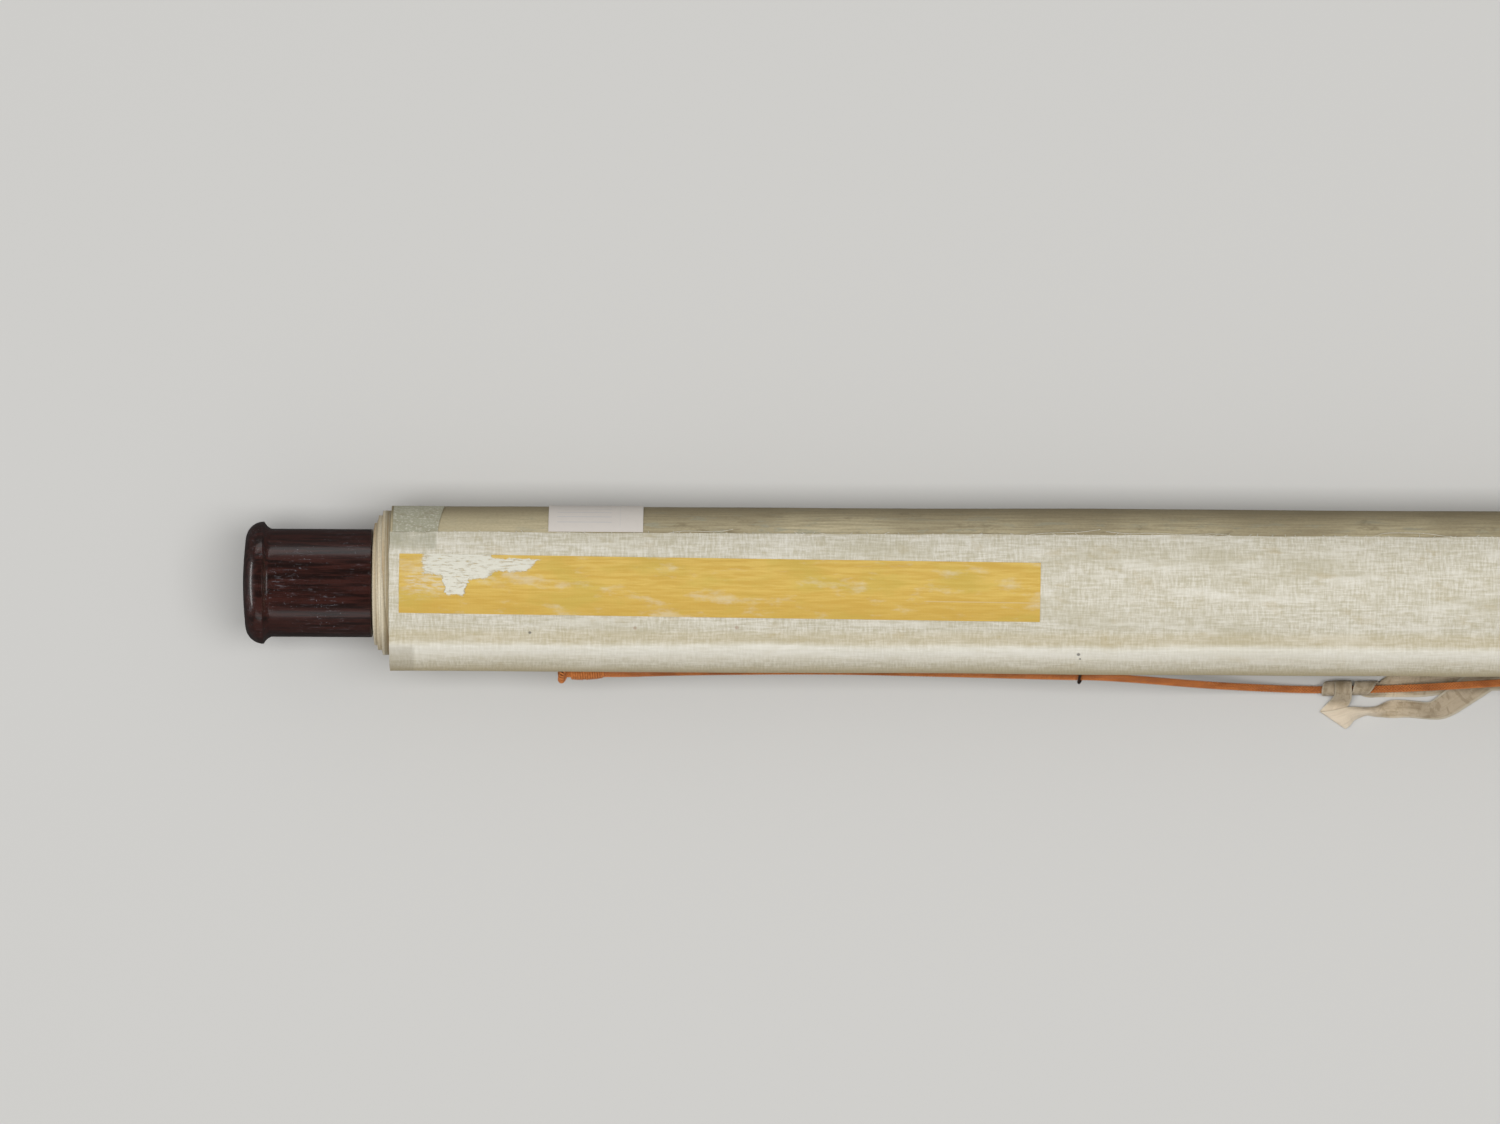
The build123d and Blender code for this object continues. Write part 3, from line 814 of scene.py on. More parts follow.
def bunched(share, closeness=0.85):
    """A share that moves slowly near both ends, so that columns lie closer there."""
    return share - closeness * sin(2 * pi * share) / (2 * pi)


def tubes(name, lines, radius, sides):
    """Round strands along several lines, as one mesh with UVs in metres along and round each."""
    points, faces, uvs = [], [], []
    turns = [2 * pi * step / sides for step in range(sides + 1)]
    for line in lines:
        first = len(points)
        alongs = distances(line)
        side = level_side(line[1] - line[0], 1e-9)
        for index, point in enumerate(line):
            run = run_at(line, index).normalized()
            side = (side - run * side.dot(run)).normalized()
            up = run.cross(side)
            points += [point + side * (radius * cos(turn)) + up * (radius * sin(turn)) for turn in turns[:-1]]
        for index, (here, there) in enumerate(zip(alongs, alongs[1:])):
            ring = first + index * sides
            for step in range(sides):
                after = (step + 1) % sides
                faces.append((ring + step, ring + after, ring + sides + after, ring + sides + step))
                near, far = radius * turns[step], radius * turns[step + 1]
                uvs += [(here, near), (here, far), (there, far), (there, near)]
        last = len(points) - sides
        faces += [tuple(range(first + sides - 1, first - 1, -1)), tuple(range(last, last + sides))]
        uvs += [(0.0, 0.0)] * sides + [(alongs[-1], 0.0)] * sides
    mesh = bpy.data.meshes.new(name)
    mesh.from_pydata(points, [], faces)
    layer = mesh.uv_layers.new(name="UVMap")
    for corner, uv in zip(layer.data, uvs):
        corner.uv = uv
    piece = bpy.data.objects.new(name, mesh)
    bpy.context.scene.collection.objects.link(piece)
    return piece


# The rolled sheet and what is pasted on it

INNER_STEPS = 18
SHEET_COLUMNS = 58
CLOTH_COLUMNS = 150
SLID_GROUPS = 3
KNOB_ROOM = 0.3 * MM
UNDER_CLOTH = 0.04 * MM
UNDER_PAPER = 0.05 * MM


def slide_at(distance):
    """How far the sheet has slid to the left at a distance from the axis."""
    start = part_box("knob_left")[1].z - AXIS_HEIGHT - sizes().knob_rim_height + KNOB_ROOM
    last = group_radius() + sizes().sheet_thickness / 2
    loose = outer_turn_radius() - sizes().sheet_thickness / 2
    share = between((distance - start) / (last - start), 0.0, 1.0)
    step = share * SLID_GROUPS
    stepped = (floor(step) + min(1.0, (step % 1) * 4) - 0.25) / SLID_GROUPS
    share = max(0.0, share + (stepped - share) * 0.85)
    slide = sizes().inner_slide + (sizes().outer_slide - sizes().inner_slide) * share**1.7
    if distance > last:
        slide *= max(0.0, 1 - (distance - last) / (loose - last))
    return slide


def sheet_rows(skin):
    """The whole sheet's outer face from the rod outwards, as (Y, Z, slide, arc, loose) rows."""
    half_sheet = sizes().sheet_thickness / 2
    first = ROD_RADIUS + ROD_ROOM + half_sheet
    group = group_radius()
    half_turns = floor(2 * (group - first) / (sizes().sheet_thickness + sizes().turn_gap))
    ends = [first + (group - first) * count / half_turns for count in range(half_turns + 1)]
    ends.append(outer_turn_radius())
    angle = OUTER_TURN_START - 360 - 180 * (len(ends) - 1)
    rows = []
    for start, end in zip(ends, ends[1:]):
        for step in range(INNER_STEPS):
            middle = distance_at(start, end, 180 * (1 - step / INNER_STEPS))
            rows.append([*around(middle + half_sheet, angle), slide_at(middle), 0.0, False])
            angle += 180 / INNER_STEPS
    arc = skin.arcs[0]
    following = skin.points[0]
    for row in reversed(rows):
        arc -= (following - Vector(row[:2])).length
        following = Vector(row[:2])
        row[3] = arc
    return rows + [[*point, 0.0, arc, True] for point, arc in zip(skin.points, skin.arcs)]


def make_mounted_sheet():
    """The sheet, laid flat and rolled up: its turns slid at the ends, the outer one loose."""
    skin = Skin()
    rows = sheet_rows(skin)

    def place(along, across):
        y, z, slide, arc, loose = rows[round(across * (len(rows) - 1))]
        uneven = MM * (0.225 + 0.175 * waver(arc * 22, 3.0) + 0.05 * waver(arc * 160, 7.0))
        left = SHEET_LEFT - slide + uneven
        right = SHEET_RIGHT - slide - uneven
        x = left + (right - left) * bunched(along)
        point = skin.at(x, arc, 0.0) if loose else Vector((x, y, z))
        return point, (x - SHEET_LEFT, arc)

    piece = lay_grid("mounted_sheet", SHEET_COLUMNS, len(rows) - 1, place)
    piece.data.materials.append(backing_paint())
    piece.data.materials.append(edge_paint())
    thicken(piece, sizes().sheet_thickness, edge_slot=1)
    finish_piece(piece, None, "mounted_paper", "scroll")


def make_cover_cloth():
    """The cover cloth with its frayed edge, and the loose threads along it."""
    skin = Skin()
    start = ROLL_RADIUS * radians(COVER_EDGE_ANGLE)
    end = skin.corner_arc

    def place(along, across):
        trim = 0.25 * MM * waver(across * 9, 1.0)
        x = SHEET_LEFT + trim + (SHEET_WIDTH - 2 * trim) * bunched(along, 0.5)
        fray = MM * (0.5 * waver(x * 45, 2.0) + 0.3 * waver(x * 230, 4.0))
        arc = start + (end - start) * across + fray * (1 - across) ** 8
        return skin.at(x, arc, sizes().cover_lift), (x - SHEET_LEFT, arc)

    piece = lay_grid("cover_cloth_weave", CLOTH_COLUMNS, round((end - start) / LINE_STEP), place)
    thicken(piece, sizes().cover_lift - UNDER_CLOTH)
    finish_piece(piece, cloth_paint(), "cover_cloth", "cover_cloth")
    threads = tubes("frayed_threads", list(thread_lines(skin, start)), THREAD_RADIUS, 5)
    finish_piece(threads, cloth_paint(), "cover_cloth")
    flat = (SHEET_WIDTH, end - start)


# Loose threads at the cloth's edge as (X, arc from the edge) points, in millimetres
LONG_THREADS = [
    [(7, 0.6), (14, 0.2), (19, -1.6), (27, -1.9), (34, -1.5), (41, -0.2), (52, 0.7), (58, 0.3)],
    [(-78, -1.4), (-70, -0.6), (-62, -0.9), (-50, -0.3), (-40, -0.8), (-33, 0.4)],
    [(-106, 0.4), (-99, -0.7), (-88, -1.1), (-80, -2.4)],
    [(122, 0.3), (131, -0.9), (140, -0.6), (149, -1.5), (156, 0.2)],
    [(-232, 0.5), (-225, -0.9), (-214, -0.7), (-208, -1.9)],
]
SHORT_THREADS = 120
THREAD_RADIUS = 0.09 * MM
THREAD_LIFT = 0.05 * MM
END_MARGIN = 8 * MM


def thread_lines(skin, edge):
    """The long threads that have come loose, and short ones all along the edge."""
    lift = sizes().cover_lift + THREAD_LIFT
    for thread in LONG_THREADS:
        yield smooth_line([skin.at(x * MM, edge + arc * MM, lift) for x, arc in thread], MM)
    for index in range(SHORT_THREADS):
        one, two, three = (waver(index * 3.7, offset, 0.9) for offset in (0.3, 5.1, 9.7))
        x = SHEET_LEFT + SHEET_WIDTH * (index + 0.5 + 1.5 * one) / SHORT_THREADS
        x = between(x, SHEET_LEFT + END_MARGIN, SHEET_RIGHT - END_MARGIN)
        run = 7 * two * MM
        reach = (0.3 + 1.8 * abs(three)) * MM
        places = [
            (x, edge + 0.8 * MM, lift),
            (x + run * 0.6, edge - reach * 0.3, sizes().cover_lift),
            (x + run, edge - reach, 0.2 * MM),
        ]
        yield smooth_line([skin.at(*place) for place in places], 0.5 * MM)


def paste(name, grid, lift, flat, place, material, slot, node):
    """A paper pasted on the skin: place(along, across) gives X and arc for metres on the flat paper."""
    skin = Skin()

    def laid(along, across):
        on_paper = (flat[0] * along, flat[1] * across)
        return skin.at(*place(*on_paper), lift), on_paper

    piece = lay_grid(name, *grid, laid)
    thicken(piece, sizes().paper_lift - UNDER_PAPER)
    finish_piece(piece, material, slot, node)


SLIP_FLAT = (223 * MM, 20 * MM)
SLIP_TURN = radians(-0.56)
LABEL_FLAT = (33 * MM, 23.1 * MM)
PATCH_FLAT = (15.6 * MM, 18.4 * MM)
PATCH_SLANT = 2.2 * MM
PAPER_GAP = 0.5 * MM
PATCH_TUCK = 0.45 * MM


def make_papers():
    """The title slip on the cloth, and the label and the corner patches on the backing beyond it."""
    edge = ROLL_RADIUS * radians(COVER_EDGE_ANGLE) - PAPER_GAP
    low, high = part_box("title_slip")
    lift = sizes().paper_lift

    def slip_place(along, across):
        a = along - SLIP_FLAT[0] / 2
        b = across - SLIP_FLAT[1] / 2
        arc = ROLL_RADIUS * asin((b - (low.y + high.y) / 2) / ROLL_RADIUS) - a * tan(SLIP_TURN)
        return (low.x + high.x) / 2 + a * cos(SLIP_TURN) + b * sin(SLIP_TURN), arc

    above = sizes().cover_lift + lift
    paste("title_slip_paper", (120, 24), above, SLIP_FLAT, slip_place, slip_paint(), "slip_paper", "title_slip")

    def label_place(along, across):
        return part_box("label")[0].x + along, edge - across

    paste("shelf_label_paper", (24, 24), lift, LABEL_FLAT, label_place, label_paint(), "label_paper", "label")
    for node, side in SIDES["corner_patch"].items():
        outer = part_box(node)[side > 0].x

        def patch_place(along, across):
            slant = 1 + PATCH_SLANT / PATCH_FLAT[0] * across / PATCH_FLAT[1]
            return outer - side * along * slant, edge + PATCH_TUCK - across

        paste(node + "_paper", (20, 20), lift, PATCH_FLAT, patch_place, patch_paint(), "patch_paper", node)


# The turned knobs

KNOB_SHAFT = 35.3 * MM
KNOB_FLARE = 2.8 * MM
KNOB_FLARE_HOLLOW = 0.25 * MM
KNOB_SHOULDER = 6.3 * MM
KNOB_CROWN = 0.9 * MM
KNOB_BORE = 7.1 * MM
KNOB_STEPS = 96
KNOB_EDGE = 0.4 * MM


def arc_through(start, middle, end, steps):
    """Points on the circle through three points, without the first."""
    start, middle, end = (complex(*point) for point in (start, middle, end))
    ratio = (end - start) / (middle - start)
    centre = start + (middle - start) * (ratio - abs(ratio) ** 2) / (2j * ratio.imag)
    sweep, through = (phase((point - centre) / (start - centre)) % (2 * pi) for point in (end, middle))
    if through > sweep:
        sweep -= 2 * pi
    arc = [centre + (start - centre) * exp(1j * sweep * step / steps) for step in range(1, steps + 1)]
    return [(point.real, point.imag) for point in arc]


def knob_profile():
    """A knob's outline as (outwards along the roll, radius), from its bore to the middle of its end."""
    shaft = sizes().knob_radius
    rim = shaft + sizes().knob_rim_height
    crest = KNOB_SHAFT + KNOB_FLARE
    flare_middle = ((KNOB_SHAFT + crest) / 2 + KNOB_FLARE_HOLLOW, (shaft + rim) / 2 - KNOB_FLARE_HOLLOW)
    points = [(0, KNOB_BORE), (0, shaft - KNOB_EDGE)]
    points += arc_through(points[-1], (KNOB_EDGE * 0.3, shaft - KNOB_EDGE * 0.3), (KNOB_EDGE, shaft), 3)
    points += [(KNOB_SHAFT * share, shaft) for share in (0.3, 0.6, 0.9, 1)]
    points += arc_through(points[-1], flare_middle, (crest - 0.15 * MM, rim - 0.12 * MM), 6)
    for turn in (pi / 2 * step / 15 for step in range(16)):
        points.append((crest + KNOB_SHOULDER * sin(turn), rim - KNOB_SHOULDER * (1 - cos(turn))))
    for left in (1 - step / 8 for step in range(1, 9)):
        points.append((crest + KNOB_SHOULDER + KNOB_CROWN * (1 - left**2), (rim - KNOB_SHOULDER) * left))
    return points


def make_knobs():
    """Both knobs: an outline extruded point by point and spun round the roll's axis."""
    material = knob_paint()
    for node, side in SIDES["knob"].items():
        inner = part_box(node)[side < 0].x
        places = [Vector((inner + side * out, 0, AXIS_HEIGHT + radius)) for out, radius in knob_profile()]
        piece = add("turned_" + node, bpy.ops.mesh.primitive_plane_add, size=MM)
        bpy.ops.object.mode_set(mode="EDIT")
        bpy.ops.mesh.merge(type="CENTER")
        bpy.ops.transform.translate(value=places[0])
        for before, after in zip(places, places[1:]):
            bpy.ops.mesh.extrude_region_move(TRANSFORM_OT_translate={"value": after - before})
        bpy.ops.mesh.select_all(action="SELECT")
        bpy.ops.mesh.spin(steps=KNOB_STEPS, angle=2 * pi, center=(inner, 0, AXIS_HEIGHT), axis=(1, 0, 0))
        bpy.ops.mesh.select_all(action="SELECT")
        bpy.ops.mesh.remove_doubles(threshold=0.005 * MM)
        bpy.ops.mesh.normals_make_consistent(inside=False)
        bpy.ops.object.mode_set(mode="OBJECT")
        finish_piece(piece, material, "knob_wood", node, smooth_angle=50)


# The cord, its knots and the ribbon

RING_Y = (KNOT_LOW.y + KNOT_HIGH.y) / 2
KNOT_Z = KNOT_HIGH.z - 2.6 * MM
IN_RING_Y = RING_Y - 0.25 * MM
IN_RING_Z = KNOT_Z + 2.07 * MM
CORD_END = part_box("hanging_cord")[1].x
CORD_ROUTE = [
    (-CORD_END, RING_Y, KNOT_Z),
    (-0.245, RING_Y, KNOT_Z),
    (-0.230, -0.0306, 0.0239),
    (-0.208, -0.0302, 0.0204),
    (-0.182, -0.0300, 0.0182),
    (-0.155, -0.0302, 0.0189),
    (-0.130, -0.0306, 0.0222),
    (-0.109, -0.0310, 0.0266),
    (-0.092, IN_RING_Y, IN_RING_Z),
    (-0.080, IN_RING_Y, IN_RING_Z),
    (-0.062, -0.0326, 0.0242),
    (-0.043, -0.0342, 0.0148),
    (-0.025, -0.0352, 0.0068),
    (-0.010, -0.0358, 0.0034),
    (0.003, -0.0359, 0.0029),
    (0.021, -0.0355, 0.0029),
    (0.035, -0.0349, 0.0044),
    (0.050, -0.0338, 0.0118),
    (0.065, -0.0327, 0.0224),
    (0.080, IN_RING_Y, IN_RING_Z),
    (0.092, IN_RING_Y, IN_RING_Z),
    (0.110, -0.0309, 0.0262),
    (0.132, -0.0306, 0.0215),
    (0.157, -0.0301, 0.0185),
    (0.184, -0.0300, 0.0181),
    (0.209, -0.0303, 0.0208),
    (0.231, -0.0307, 0.0243),
    (0.245, RING_Y, KNOT_Z),
    (CORD_END, RING_Y, KNOT_Z),
]
BRAID_STRANDS = 5
BRAID_PERIOD = 5.6 * MM
BRAID_STEPS = 24
BRAID_ROUNDING = 0.97
STRAND_SIDES = 6
CURVE_STEPS = 16


def route_line(points):
    """The smooth line of a route, read from a NURBS curve with those control points."""
    curve = bpy.data.curves.new("route", "CURVE")
    curve.dimensions = "3D"
    curve.resolution_u = CURVE_STEPS
    spline = curve.splines.new("NURBS")
    spline.points.add(len(points) - 1)
    for knot, point in zip(spline.points, points):
        knot.co = (*point, 1)
    spline.order_u = 3
    spline.use_endpoint_u = True
    carrier = bpy.data.objects.new("route", curve)
    mesh = bpy.data.meshes.new_from_object(carrier)
    line = [vertex.co.copy() for vertex in mesh.vertices]
    bpy.data.objects.remove(carrier)
    bpy.data.meshes.remove(mesh)
    return line


def braid_lines(line, width, strand, period, facing):
    """The strands of a flat braid along a line. Facing gives how far it is turned, at a share of the line."""
    line = evenly(line, period / BRAID_STEPS)
    strands = [[] for _ in range(BRAID_STRANDS)]
    for index, point in enumerate(line):
        run = run_at(line, index).normalized()
        level = level_side(run, 0.05)
        up = run.cross(level)
        turn = facing(index / len(line))
        side = level * cos(turn) + up * sin(turn)
        face = up * cos(turn) - level * sin(turn)
        for count, strand_line in enumerate(strands):
            turned = 2 * pi * (index / BRAID_STEPS + count / BRAID_STRANDS)
            across = (width - strand) / 2 * asin(BRAID_ROUNDING * cos(turned)) / asin(BRAID_ROUNDING)
            side_on = between(sin(turned) / sin(pi / BRAID_STRANDS), -1, 1)
            over = 0.5 * strand * cos(BRAID_STRANDS * turned) * side_on
            strand_line.append(point + side * across + face * over)
    return strands


def make_cord():
    """The flat braided cord from knot to knot, over the two inner rings."""
    line = route_line(CORD_ROUTE)

    def facing(share):
        return (0.5 * waver(share * 9, 0.2) - 0.15) * min(1.0, abs(share - 0.58) / 0.15)

    strands = braid_lines(line, sizes().cord_width, sizes().strand, BRAID_PERIOD, facing)
    piece = tubes("braided_cord", strands, sizes().strand / 2, STRAND_SIDES)
    finish_piece(piece, cord_paint(), "cord_braid", "hanging_cord", smooth_angle=80)
    knots = [make_knot(node, side) for node, side in SIDES["cord_knot"].items()]
    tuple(CORD_ROUTE[0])
    distances(line)[-1]
    [tuple(point) for point in line]


KNOT_LENGTH = 12 * MM
KNOT_GAP = 2.2 * MM
KNOT_RADIUS = 2.5 * MM
LOOP_RADIUS = 1.6 * MM
LOOP_ARM = 2 * MM
LOOP_WIDTH = 3 * MM
LOOP_STRAND = 0.6 * MM
LOOP_PERIOD = 4 * MM
WRAP_THREAD = 0.85 * MM
RING_RADIUS = 2.5 * MM
RING_WIRE = 0.5 * MM
RING_TWIST = radians(20)
HITCH_THREAD = 0.75 * MM
HITCH_TURNS = 11
HITCH_STEPS = 14
HITCH_START = 195.0
HITCH_END = 390.0


def ring_hitch(ring_x):
    """The line of the turns that the cord's end takes round the outer half of a ring's wire."""
    stave = radians(STAVE_ANGLE)
    outwards = Vector((0, -cos(stave), -sin(stave)))
    level = Vector((1, 0, 0))
    twist = -RING_TWIST if ring_x > 0 else RING_TWIST
    through = level * cos(twist) + outwards.cross(level) * sin(twist)
    across = through.cross(outwards)
    middle = Vector((ring_x, RING_Y, KNOT_Z + RING_RADIUS))
    steps = HITCH_TURNS * HITCH_STEPS
    coil = RING_WIRE + HITCH_THREAD * 0.45
    line = []
    for share in (step / steps for step in range(steps + 1)):
        turn = radians(HITCH_START + (HITCH_END - HITCH_START) * share)
        wind = 2 * pi * HITCH_TURNS * share
        out = outwards * cos(turn) + across * sin(turn)
        line.append(middle + out * (RING_RADIUS + coil * cos(wind)) + through * (coil * sin(wind)))
    return line


def make_knot(node, side):
    """A tied end: a loop through the outer ring, wrapped with thread."""
    ring_x = side * (CORD_END + KNOT_GAP + KNOT_LENGTH)

    def local(out, across, up):
        return Vector((ring_x - side * out, RING_Y + across, KNOT_Z + up))

    turns = KNOT_LENGTH / WRAP_THREAD - 1
    steps = round(turns * 20)
    wraps = []
    for share in (step / steps for step in range(steps + 1)):
        turn = 2 * pi * turns * share
        out = KNOT_GAP + WRAP_THREAD / 2 + (KNOT_LENGTH - WRAP_THREAD) * share
        swell = (KNOT_RADIUS - WRAP_THREAD / 2) * (1 - 0.14 * (2 * share - 1) ** 4 - 0.28 * share**2)
        swell += 0.22 * MM * waver(share * 11, side)
        wraps.append(local(out, swell * cos(turn), swell * sin(turn)))
    core = [local(KNOT_GAP + KNOT_LENGTH * step / 6, 0, 0) for step in range(7)]
    bend = [(-LOOP_RADIUS * sin(pi * step / 12), LOOP_RADIUS * cos(pi * step / 12)) for step in range(13)]
    arm = KNOT_GAP + LOOP_ARM
    loop = [local(out, 0, up) for out, up in [(arm, LOOP_RADIUS), *bend, (arm, -LOOP_RADIUS)]]
    name = node.replace("knot", "whipping")
    piece = tubes(name, [wraps], WRAP_THREAD / 2, 8)
    braid = braid_lines(loop, LOOP_WIDTH, LOOP_STRAND, LOOP_PERIOD, lambda share: 0.0)
    others = [
        tubes(name + "_core", [core], KNOT_RADIUS * 0.55, 20),
        tubes(name + "_loop", braid, 0.32 * MM, STRAND_SIDES),
        tubes(name + "_hitch", [ring_hitch(ring_x)], HITCH_THREAD / 2, STRAND_SIDES),
    ]
    only(piece)
    for other in others:
        other.select_set(True)
    bpy.ops.object.join()
    return finish_piece(piece, cord_paint(), "cord_braid", node, smooth_angle=80)


# The ribbon as stations in millimetres: a point on one edge, one on the other, and how far its middle arches
# up. It starts at the end of the first tail, goes round the cord and ends with the second tail.
RIBBON = [
    (100.6, -18.3, 1.6, 100.1, -27.8, 1.5, 0.1),
    (126.3, -18.6, 1.6, 125.9, -27.9, 1.5, 0.3),
    (156.0, -18.4, 1.7, 156.0, -27.8, 1.6, 0.2),
    (183.7, -18.3, 1.9, 183.3, -27.6, 1.8, 0.2),
    (189.6, -18.1, 1.6, 189.2, -27.4, 1.5, 0.0),
    (189.2, -17.9, 1.0, 188.9, -27.2, 0.9, 0.0),
    (181.7, -17.7, 0.7, 181.7, -27.2, 0.5, 0.1),
    (156.0, -18.1, 0.7, 156.5, -27.6, 0.5, 0.2),
    (126.3, -18.3, 0.8, 126.3, -27.9, 0.5, 0.4),
    (96.7, -18.7, 0.7, 97.2, -28.2, 0.5, 0.2),
    (74.9, -20.1, 0.8, 77.4, -29.6, 0.6, 0.4),
    (63.1, -22.9, 0.9, 68.5, -31.8, 0.7, 0.4),
    (55.6, -26.6, 1.2, 61.3, -34.9, 0.8, 0.4),
    (49.6, -30.6, 1.6, 55.7, -38.4, 0.8, 0.5),
    (44.9, -34.4, 1.8, 50.8, -41.6, 0.7, 0.6),
    (41.9, -36.9, 1.6, 46.0, -44.5, 0.5, 0.7),
    (39.5, -38.8, 1.4, 41.8, -46.0, 0.4, 0.8),
    (37.3, -40.0, 1.3, 36.9, -46.0, 0.4, 0.9),
    (33.9, -39.9, 1.2, 33.4, -45.7, 0.4, 1.0),
    (29.3, -39.5, 1.3, 29.3, -45.4, 0.4, 1.1),
    (25.0, -39.4, 1.5, 25.1, -45.6, 0.5, 1.0),
    (22.3, -40.1, 1.4, 21.8, -45.4, 0.5, 1.6),
    (19.0, -41.7, 1.2, 18.4, -45.1, 0.5, 2.6),
    (15.7, -42.1, 1.5, 15.5, -44.7, 0.6, 3.0),
    (12.4, -42.0, 2.2, 12.9, -45.6, 0.7, 2.2),
    (9.3, -42.0, 2.6, 10.8, -46.7, 1.0, 1.4),
    (6.3, -42.6, 2.5, 9.8, -48.1, 1.5, 0.8),
    (2.5, -43.3, 2.2, 8.7, -49.1, 1.6, 0.3),
    (-0.7, -43.6, 1.5, 7.9, -49.4, 1.2, 0.0),
    (-0.6, -43.1, 0.8, 7.1, -47.8, 0.8, 0.1),
    (0.9, -41.4, 1.0, 7.7, -43.4, 1.2, 0.4),
    (2.9, -39.2, 2.6, 9.4, -40.5, 2.8, 0.3),
    (3.8, -37.8, 4.6, 10.0, -38.3, 4.8, 0.0),
    (4.0, -35.7, 5.9, 10.0, -35.5, 5.8, 0.0),
    (3.9, -33.5, 4.9, 10.0, -33.4, 4.8, 0.0),
    (3.5, -32.7, 2.9, 9.6, -32.7, 2.9, 0.0),
    (2.3, -34.1, 0.9, 8.5, -33.9, 0.9, 0.0),
    (1.1, -36.3, 0.5, 7.3, -36.3, 0.6, 0.0),
    (-0.0, -37.9, 2.4, 6.3, -37.9, 2.4, 0.0),
    (-0.6, -37.1, 4.6, 5.5, -37.1, 4.6, 0.0),
    (-0.4, -34.9, 5.1, 5.5, -34.9, 5.1, 0.0),
    (0.7, -33.1, 3.6, 6.9, -33.1, 3.6, 0.0),
    (3.3, -33.4, 1.6, 9.4, -33.4, 1.6, 0.0),
    (6.1, -35.7, 0.8, 12.2, -35.7, 0.8, 0.0),
    (8.5, -37.6, 2.2, 14.8, -37.4, 2.4, 0.0),
    (10.0, -36.8, 4.4, 16.6, -36.5, 4.3, 0.0),
    (10.6, -34.9, 5.0, 18.0, -34.7, 4.8, 0.0),
    (11.2, -33.0, 3.6, 18.9, -33.0, 3.2, 0.0),
    (12.0, -33.6, 1.4, 19.5, -32.9, 1.4, 0.0),
    (12.6, -35.9, 0.6, 20.1, -33.7, 1.0, 0.0),
    (13.4, -37.7, 0.5, 21.3, -32.0, 1.0, 0.1),
    (16.0, -38.5, 0.5, 23.5, -30.4, 1.0, 0.2),
    (20.5, -38.4, 0.4, 26.1, -29.6, 0.9, 0.2),
    (27.4, -38.3, 0.4, 29.8, -29.2, 0.8, 0.2),
    (35.4, -38.2, 0.35, 36.8, -29.0, 0.7, 0.1),
    (45.2, -37.0, 0.3, 46.7, -28.5, 0.5, 0.4),
    (59.1, -35.8, 0.3, 60.1, -28.3, 0.4, 1.2),
    (78.9, -36.1, 0.4, 79.9, -28.5, 0.4, 1.2),
    (106.6, -37.2, 0.4, 106.6, -28.5, 0.4, 0.6),
    (132.3, -37.5, 0.4, 132.8, -28.4, 0.4, 0.3),
    (144.6, -37.3, 0.5, 144.3, -28.3, 0.5, 0.0),
    (146.1, -37.2, 1.0, 145.7, -28.2, 1.0, 0.0),
    (143.2, -37.3, 1.4, 143.0, -28.3, 1.4, 0.1),
    (112.5, -37.6, 1.2, 112.5, -28.5, 1.2, 0.3),
    (80.9, -37.5, 1.1, 80.9, -28.4, 1.1, 0.1),
]
RIBBON_STEP = 0.9 * MM
RIBBON_ACROSS = 10
FLOOR_ROOM = 0.02 * MM


def make_ribbon():
    """The tape: two tails and a hitch round the cord, laid between its two edges with a low arch across."""

    def middle(station):
        return (Vector(station[:3]) + Vector(station[3:6])) / 2

    stations = [Vector(station) * MM for station in RIBBON]
    rows = smooth_line(stations, RIBBON_STEP, 2, lambda run: middle(run).length)
    alongs = distances([middle(row) for row in rows])
    low = sizes().tape_thickness / 2 + FLOOR_ROOM

    def place(across, along):
        index = round(along * (len(rows) - 1))
        point = Vector(rows[index][:3]).lerp(Vector(rows[index][3:6]), across)
        crinkle = 0.34 * MM * waver(alongs[index] * 230, across * 2.4, 0.7)
        point.z = max(point.z + 4 * rows[index][6] * across * (1 - across) + crinkle, low)
        return point, (alongs[index], across * sizes().tape_width)

    piece = lay_grid("ribbon_tape", RIBBON_ACROSS, len(rows) - 1, place)
    thicken(piece, sizes().tape_thickness, offset=0.0)
    finish_piece(piece, tape_paint(), "ribbon_tape", "tie_ribbon", smooth_angle=70)


def dress_nodes():
    """The finishes of the pieces whose form comes with the frame."""
    wood = bare_wood_paint()
    iron = iron_paint()
    for name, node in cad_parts.items():
        if name.startswith("eyelet") or name in ("top_stave", "roller_rod"):
            for slot in node.material_slots:
                slot.material = iron if name.startswith("eyelet") else wood


# The stage

# The camera looks straight down from far above, and VIEW_WIDTH is what it sees at the height of the roll's axis
CAMERA_PLACE = (-0.202, 0.0081, 4.0)
CAMERA_TURN = 0.29
VIEW_WIDTH = 0.525
SENSOR = 36.0
# Each lamp's name, place, size, power and whether it is there for gloss, or else for plain light
LAMPS = [
    ("overhead", (-0.2, -0.12, 2.4), (2.8, 1.1), 48.5, False),
    ("far_side", (-0.2, 1.5, 0.5), (2.6, 0.55), 4.4, True),
    ("near_side", (-0.2, -1.5, 0.58), (2.6, 0.42), 2.7, True),
    ("left_end", (-1.9, -0.05, 0.42), (1.7, 0.26), 8.0, True),
    ("right_end", (1.6, 0, 0.9), (1.2, 0.3), 3.0, True),
]
LAMP_AIM = (-0.2, 0, AXIS_HEIGHT)
FLOOR_SIZE = 8.0
CAMERA_REACH = 20.0
DARK_FLOOR = 0.93
DARK_ROOM = 0.02
LIGHT_ROOM = 0.35


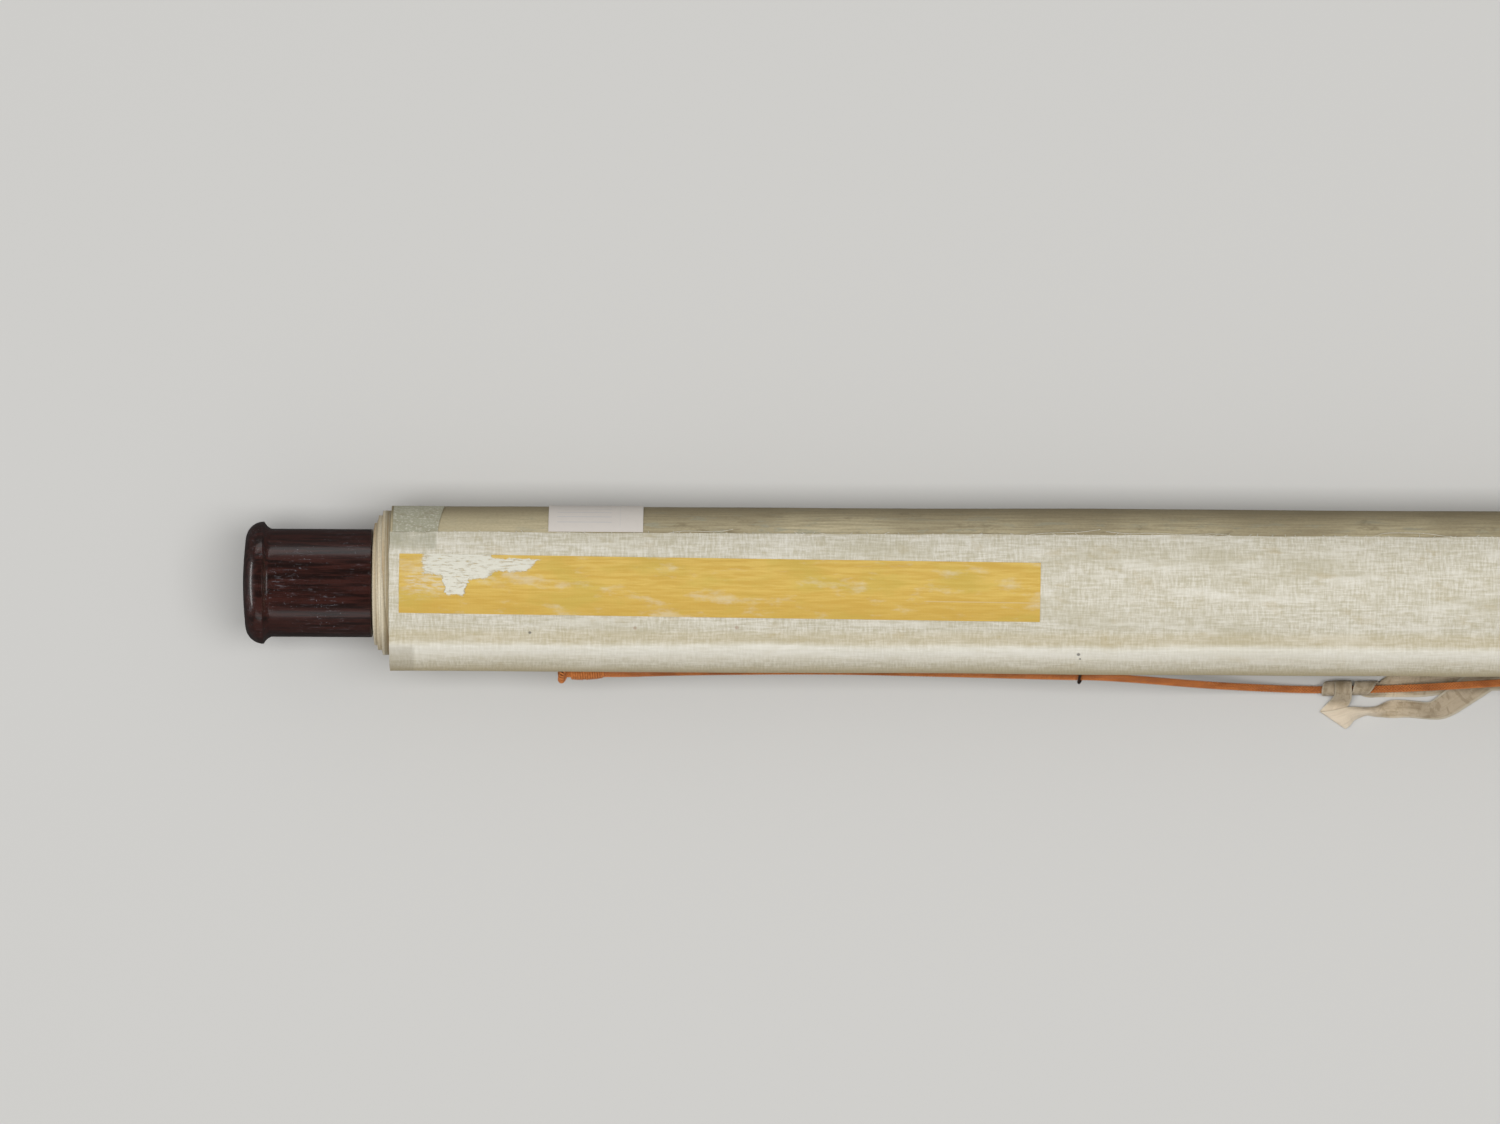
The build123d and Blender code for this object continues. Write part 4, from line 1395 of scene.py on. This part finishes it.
def floor_paint():
    """A plain pale floor, which glossy surfaces show darker."""
    paint = Paint("pale_floor")
    glossy = paint.node("LightPath", {}, {}, "Is Glossy Ray")
    return paint.done(paint.coats("floor", (SHADE, glossy * DARK_FLOOR)), 0.75, specular_ior_level=0.2)


def room_paint():
    """A plain white room, which glossy surfaces show darker."""
    room = Paint("room", "worlds")
    glossy = room.node("LightPath", {}, {}, "Is Glossy Ray")
    strength = room.node("MapRange", {}, {"Value": glossy, "To Min": LIGHT_ROOM, "To Max": DARK_ROOM})
    white = room.node("Background", {}, {"Color": (1, 1, 1), "Strength": strength})
    room.node("OutputWorld", {}, {"Surface": white})
    return room.made


def make_stage():
    """The floor, the lamps, the room and the camera."""
    floor_piece = add("floor", bpy.ops.mesh.primitive_plane_add, size=FLOOR_SIZE)
    floor_piece.data.materials.append(floor_paint())
    floor_piece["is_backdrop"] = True
    for name, place, size, power, glossy in LAMPS:
        lamp = add(name, bpy.ops.object.light_add, type="AREA", location=place)
        lamp.data.shape = "RECTANGLE"
        lamp.data.size, lamp.data.size_y = size
        lamp.data.energy = power
        lamp.rotation_euler = (Vector(LAMP_AIM) - Vector(place)).to_track_quat("-Z", "Y").to_euler()
        lamp.visible_glossy = glossy
        lamp.visible_diffuse = not glossy
    scene = bpy.context.scene
    scene.world = room_paint()
    turn = (0, 0, radians(CAMERA_TURN))
    scene.camera = add("camera", bpy.ops.object.camera_add, location=CAMERA_PLACE, rotation=turn)
    lens = scene.camera.data
    lens.sensor_width = SENSOR
    lens.lens = SENSOR * (CAMERA_PLACE[2] - AXIS_HEIGHT) / VIEW_WIDTH
    lens.clip_end = CAMERA_REACH
    scene.view_settings.view_transform = "Standard"


class SheetOperator(bpy.types.Operator):
    """Roll up the mounted sheet"""

    bl_idname = "scroll.mounted_sheet"
    bl_label = "Mounted Sheet"

    def execute(self, context):
        make_mounted_sheet()
        return {"FINISHED"}


class ClothOperator(bpy.types.Operator):
    """Lay the cover cloth and its loose threads"""

    bl_idname = "scroll.cover_cloth"
    bl_label = "Cover Cloth"

    def execute(self, context):
        make_cover_cloth()
        return {"FINISHED"}


class PapersOperator(bpy.types.Operator):
    """Paste the slip, the label and the corner patches"""

    bl_idname = "scroll.papers"
    bl_label = "Slip, Label and Patches"

    def execute(self, context):
        make_papers()
        return {"FINISHED"}


class KnobsOperator(bpy.types.Operator):
    """Turn both roller knobs"""

    bl_idname = "scroll.knobs"
    bl_label = "Knobs"

    def execute(self, context):
        make_knobs()
        return {"FINISHED"}


class HardwareOperator(bpy.types.Operator):
    """Finish the stave, the rod and the eyelets"""

    bl_idname = "scroll.hardware"
    bl_label = "Stave, Rod and Eyelets"

    def execute(self, context):
        dress_nodes()
        return {"FINISHED"}


class CordOperator(bpy.types.Operator):
    """Braid the hanging cord and tie its ends"""

    bl_idname = "scroll.cord"
    bl_label = "Hanging Cord"

    def execute(self, context):
        make_cord()
        return {"FINISHED"}


class RibbonOperator(bpy.types.Operator):
    """Hitch the tie ribbon on the cord"""

    bl_idname = "scroll.ribbon"
    bl_label = "Tie Ribbon"

    def execute(self, context):
        make_ribbon()
        return {"FINISHED"}


class StageOperator(bpy.types.Operator):
    """Set the floor, the lamps and the camera"""

    bl_idname = "scroll.stage"
    bl_label = "Stage"

    def execute(self, context):
        make_stage()
        return {"FINISHED"}


STEPS = (
    StageOperator,
    SheetOperator,
    ClothOperator,
    PapersOperator,
    KnobsOperator,
    HardwareOperator,
    CordOperator,
    RibbonOperator,
)


class ScrollPanel(bpy.types.Panel):
    """The steps, in the order in which they are run"""

    bl_idname = "VIEW3D_PT_scroll"
    bl_label = "Scroll"
    bl_space_type = "VIEW_3D"
    bl_region_type = "UI"
    bl_category = "Scroll"

    def draw(self, context):
        for step in STEPS:
            self.layout.operator(step.bl_idname)


CLASSES = (ScrollSizes, ScrollColours, *STEPS, ScrollPanel)


def register():
    for made in CLASSES:
        bpy.utils.register_class(made)
    bpy.types.Scene.scroll_sizes = PointerProperty(type=ScrollSizes)
    bpy.types.Scene.scroll_colours = PointerProperty(type=ScrollColours)


def unregister():
    del bpy.types.Scene.scroll_sizes
    del bpy.types.Scene.scroll_colours
    for made in reversed(CLASSES):
        bpy.utils.unregister_class(made)


def main():
    register()
    for step in STEPS:
        getattr(bpy.ops.scroll, step.bl_idname.split(".")[1])()
    boxes = {"cad": cad_box, "visual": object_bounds()}
    plain = {name: [list(corner) for corner in corners] for name, corners in boxes.items()}


if __name__ == "__main__":
    main()
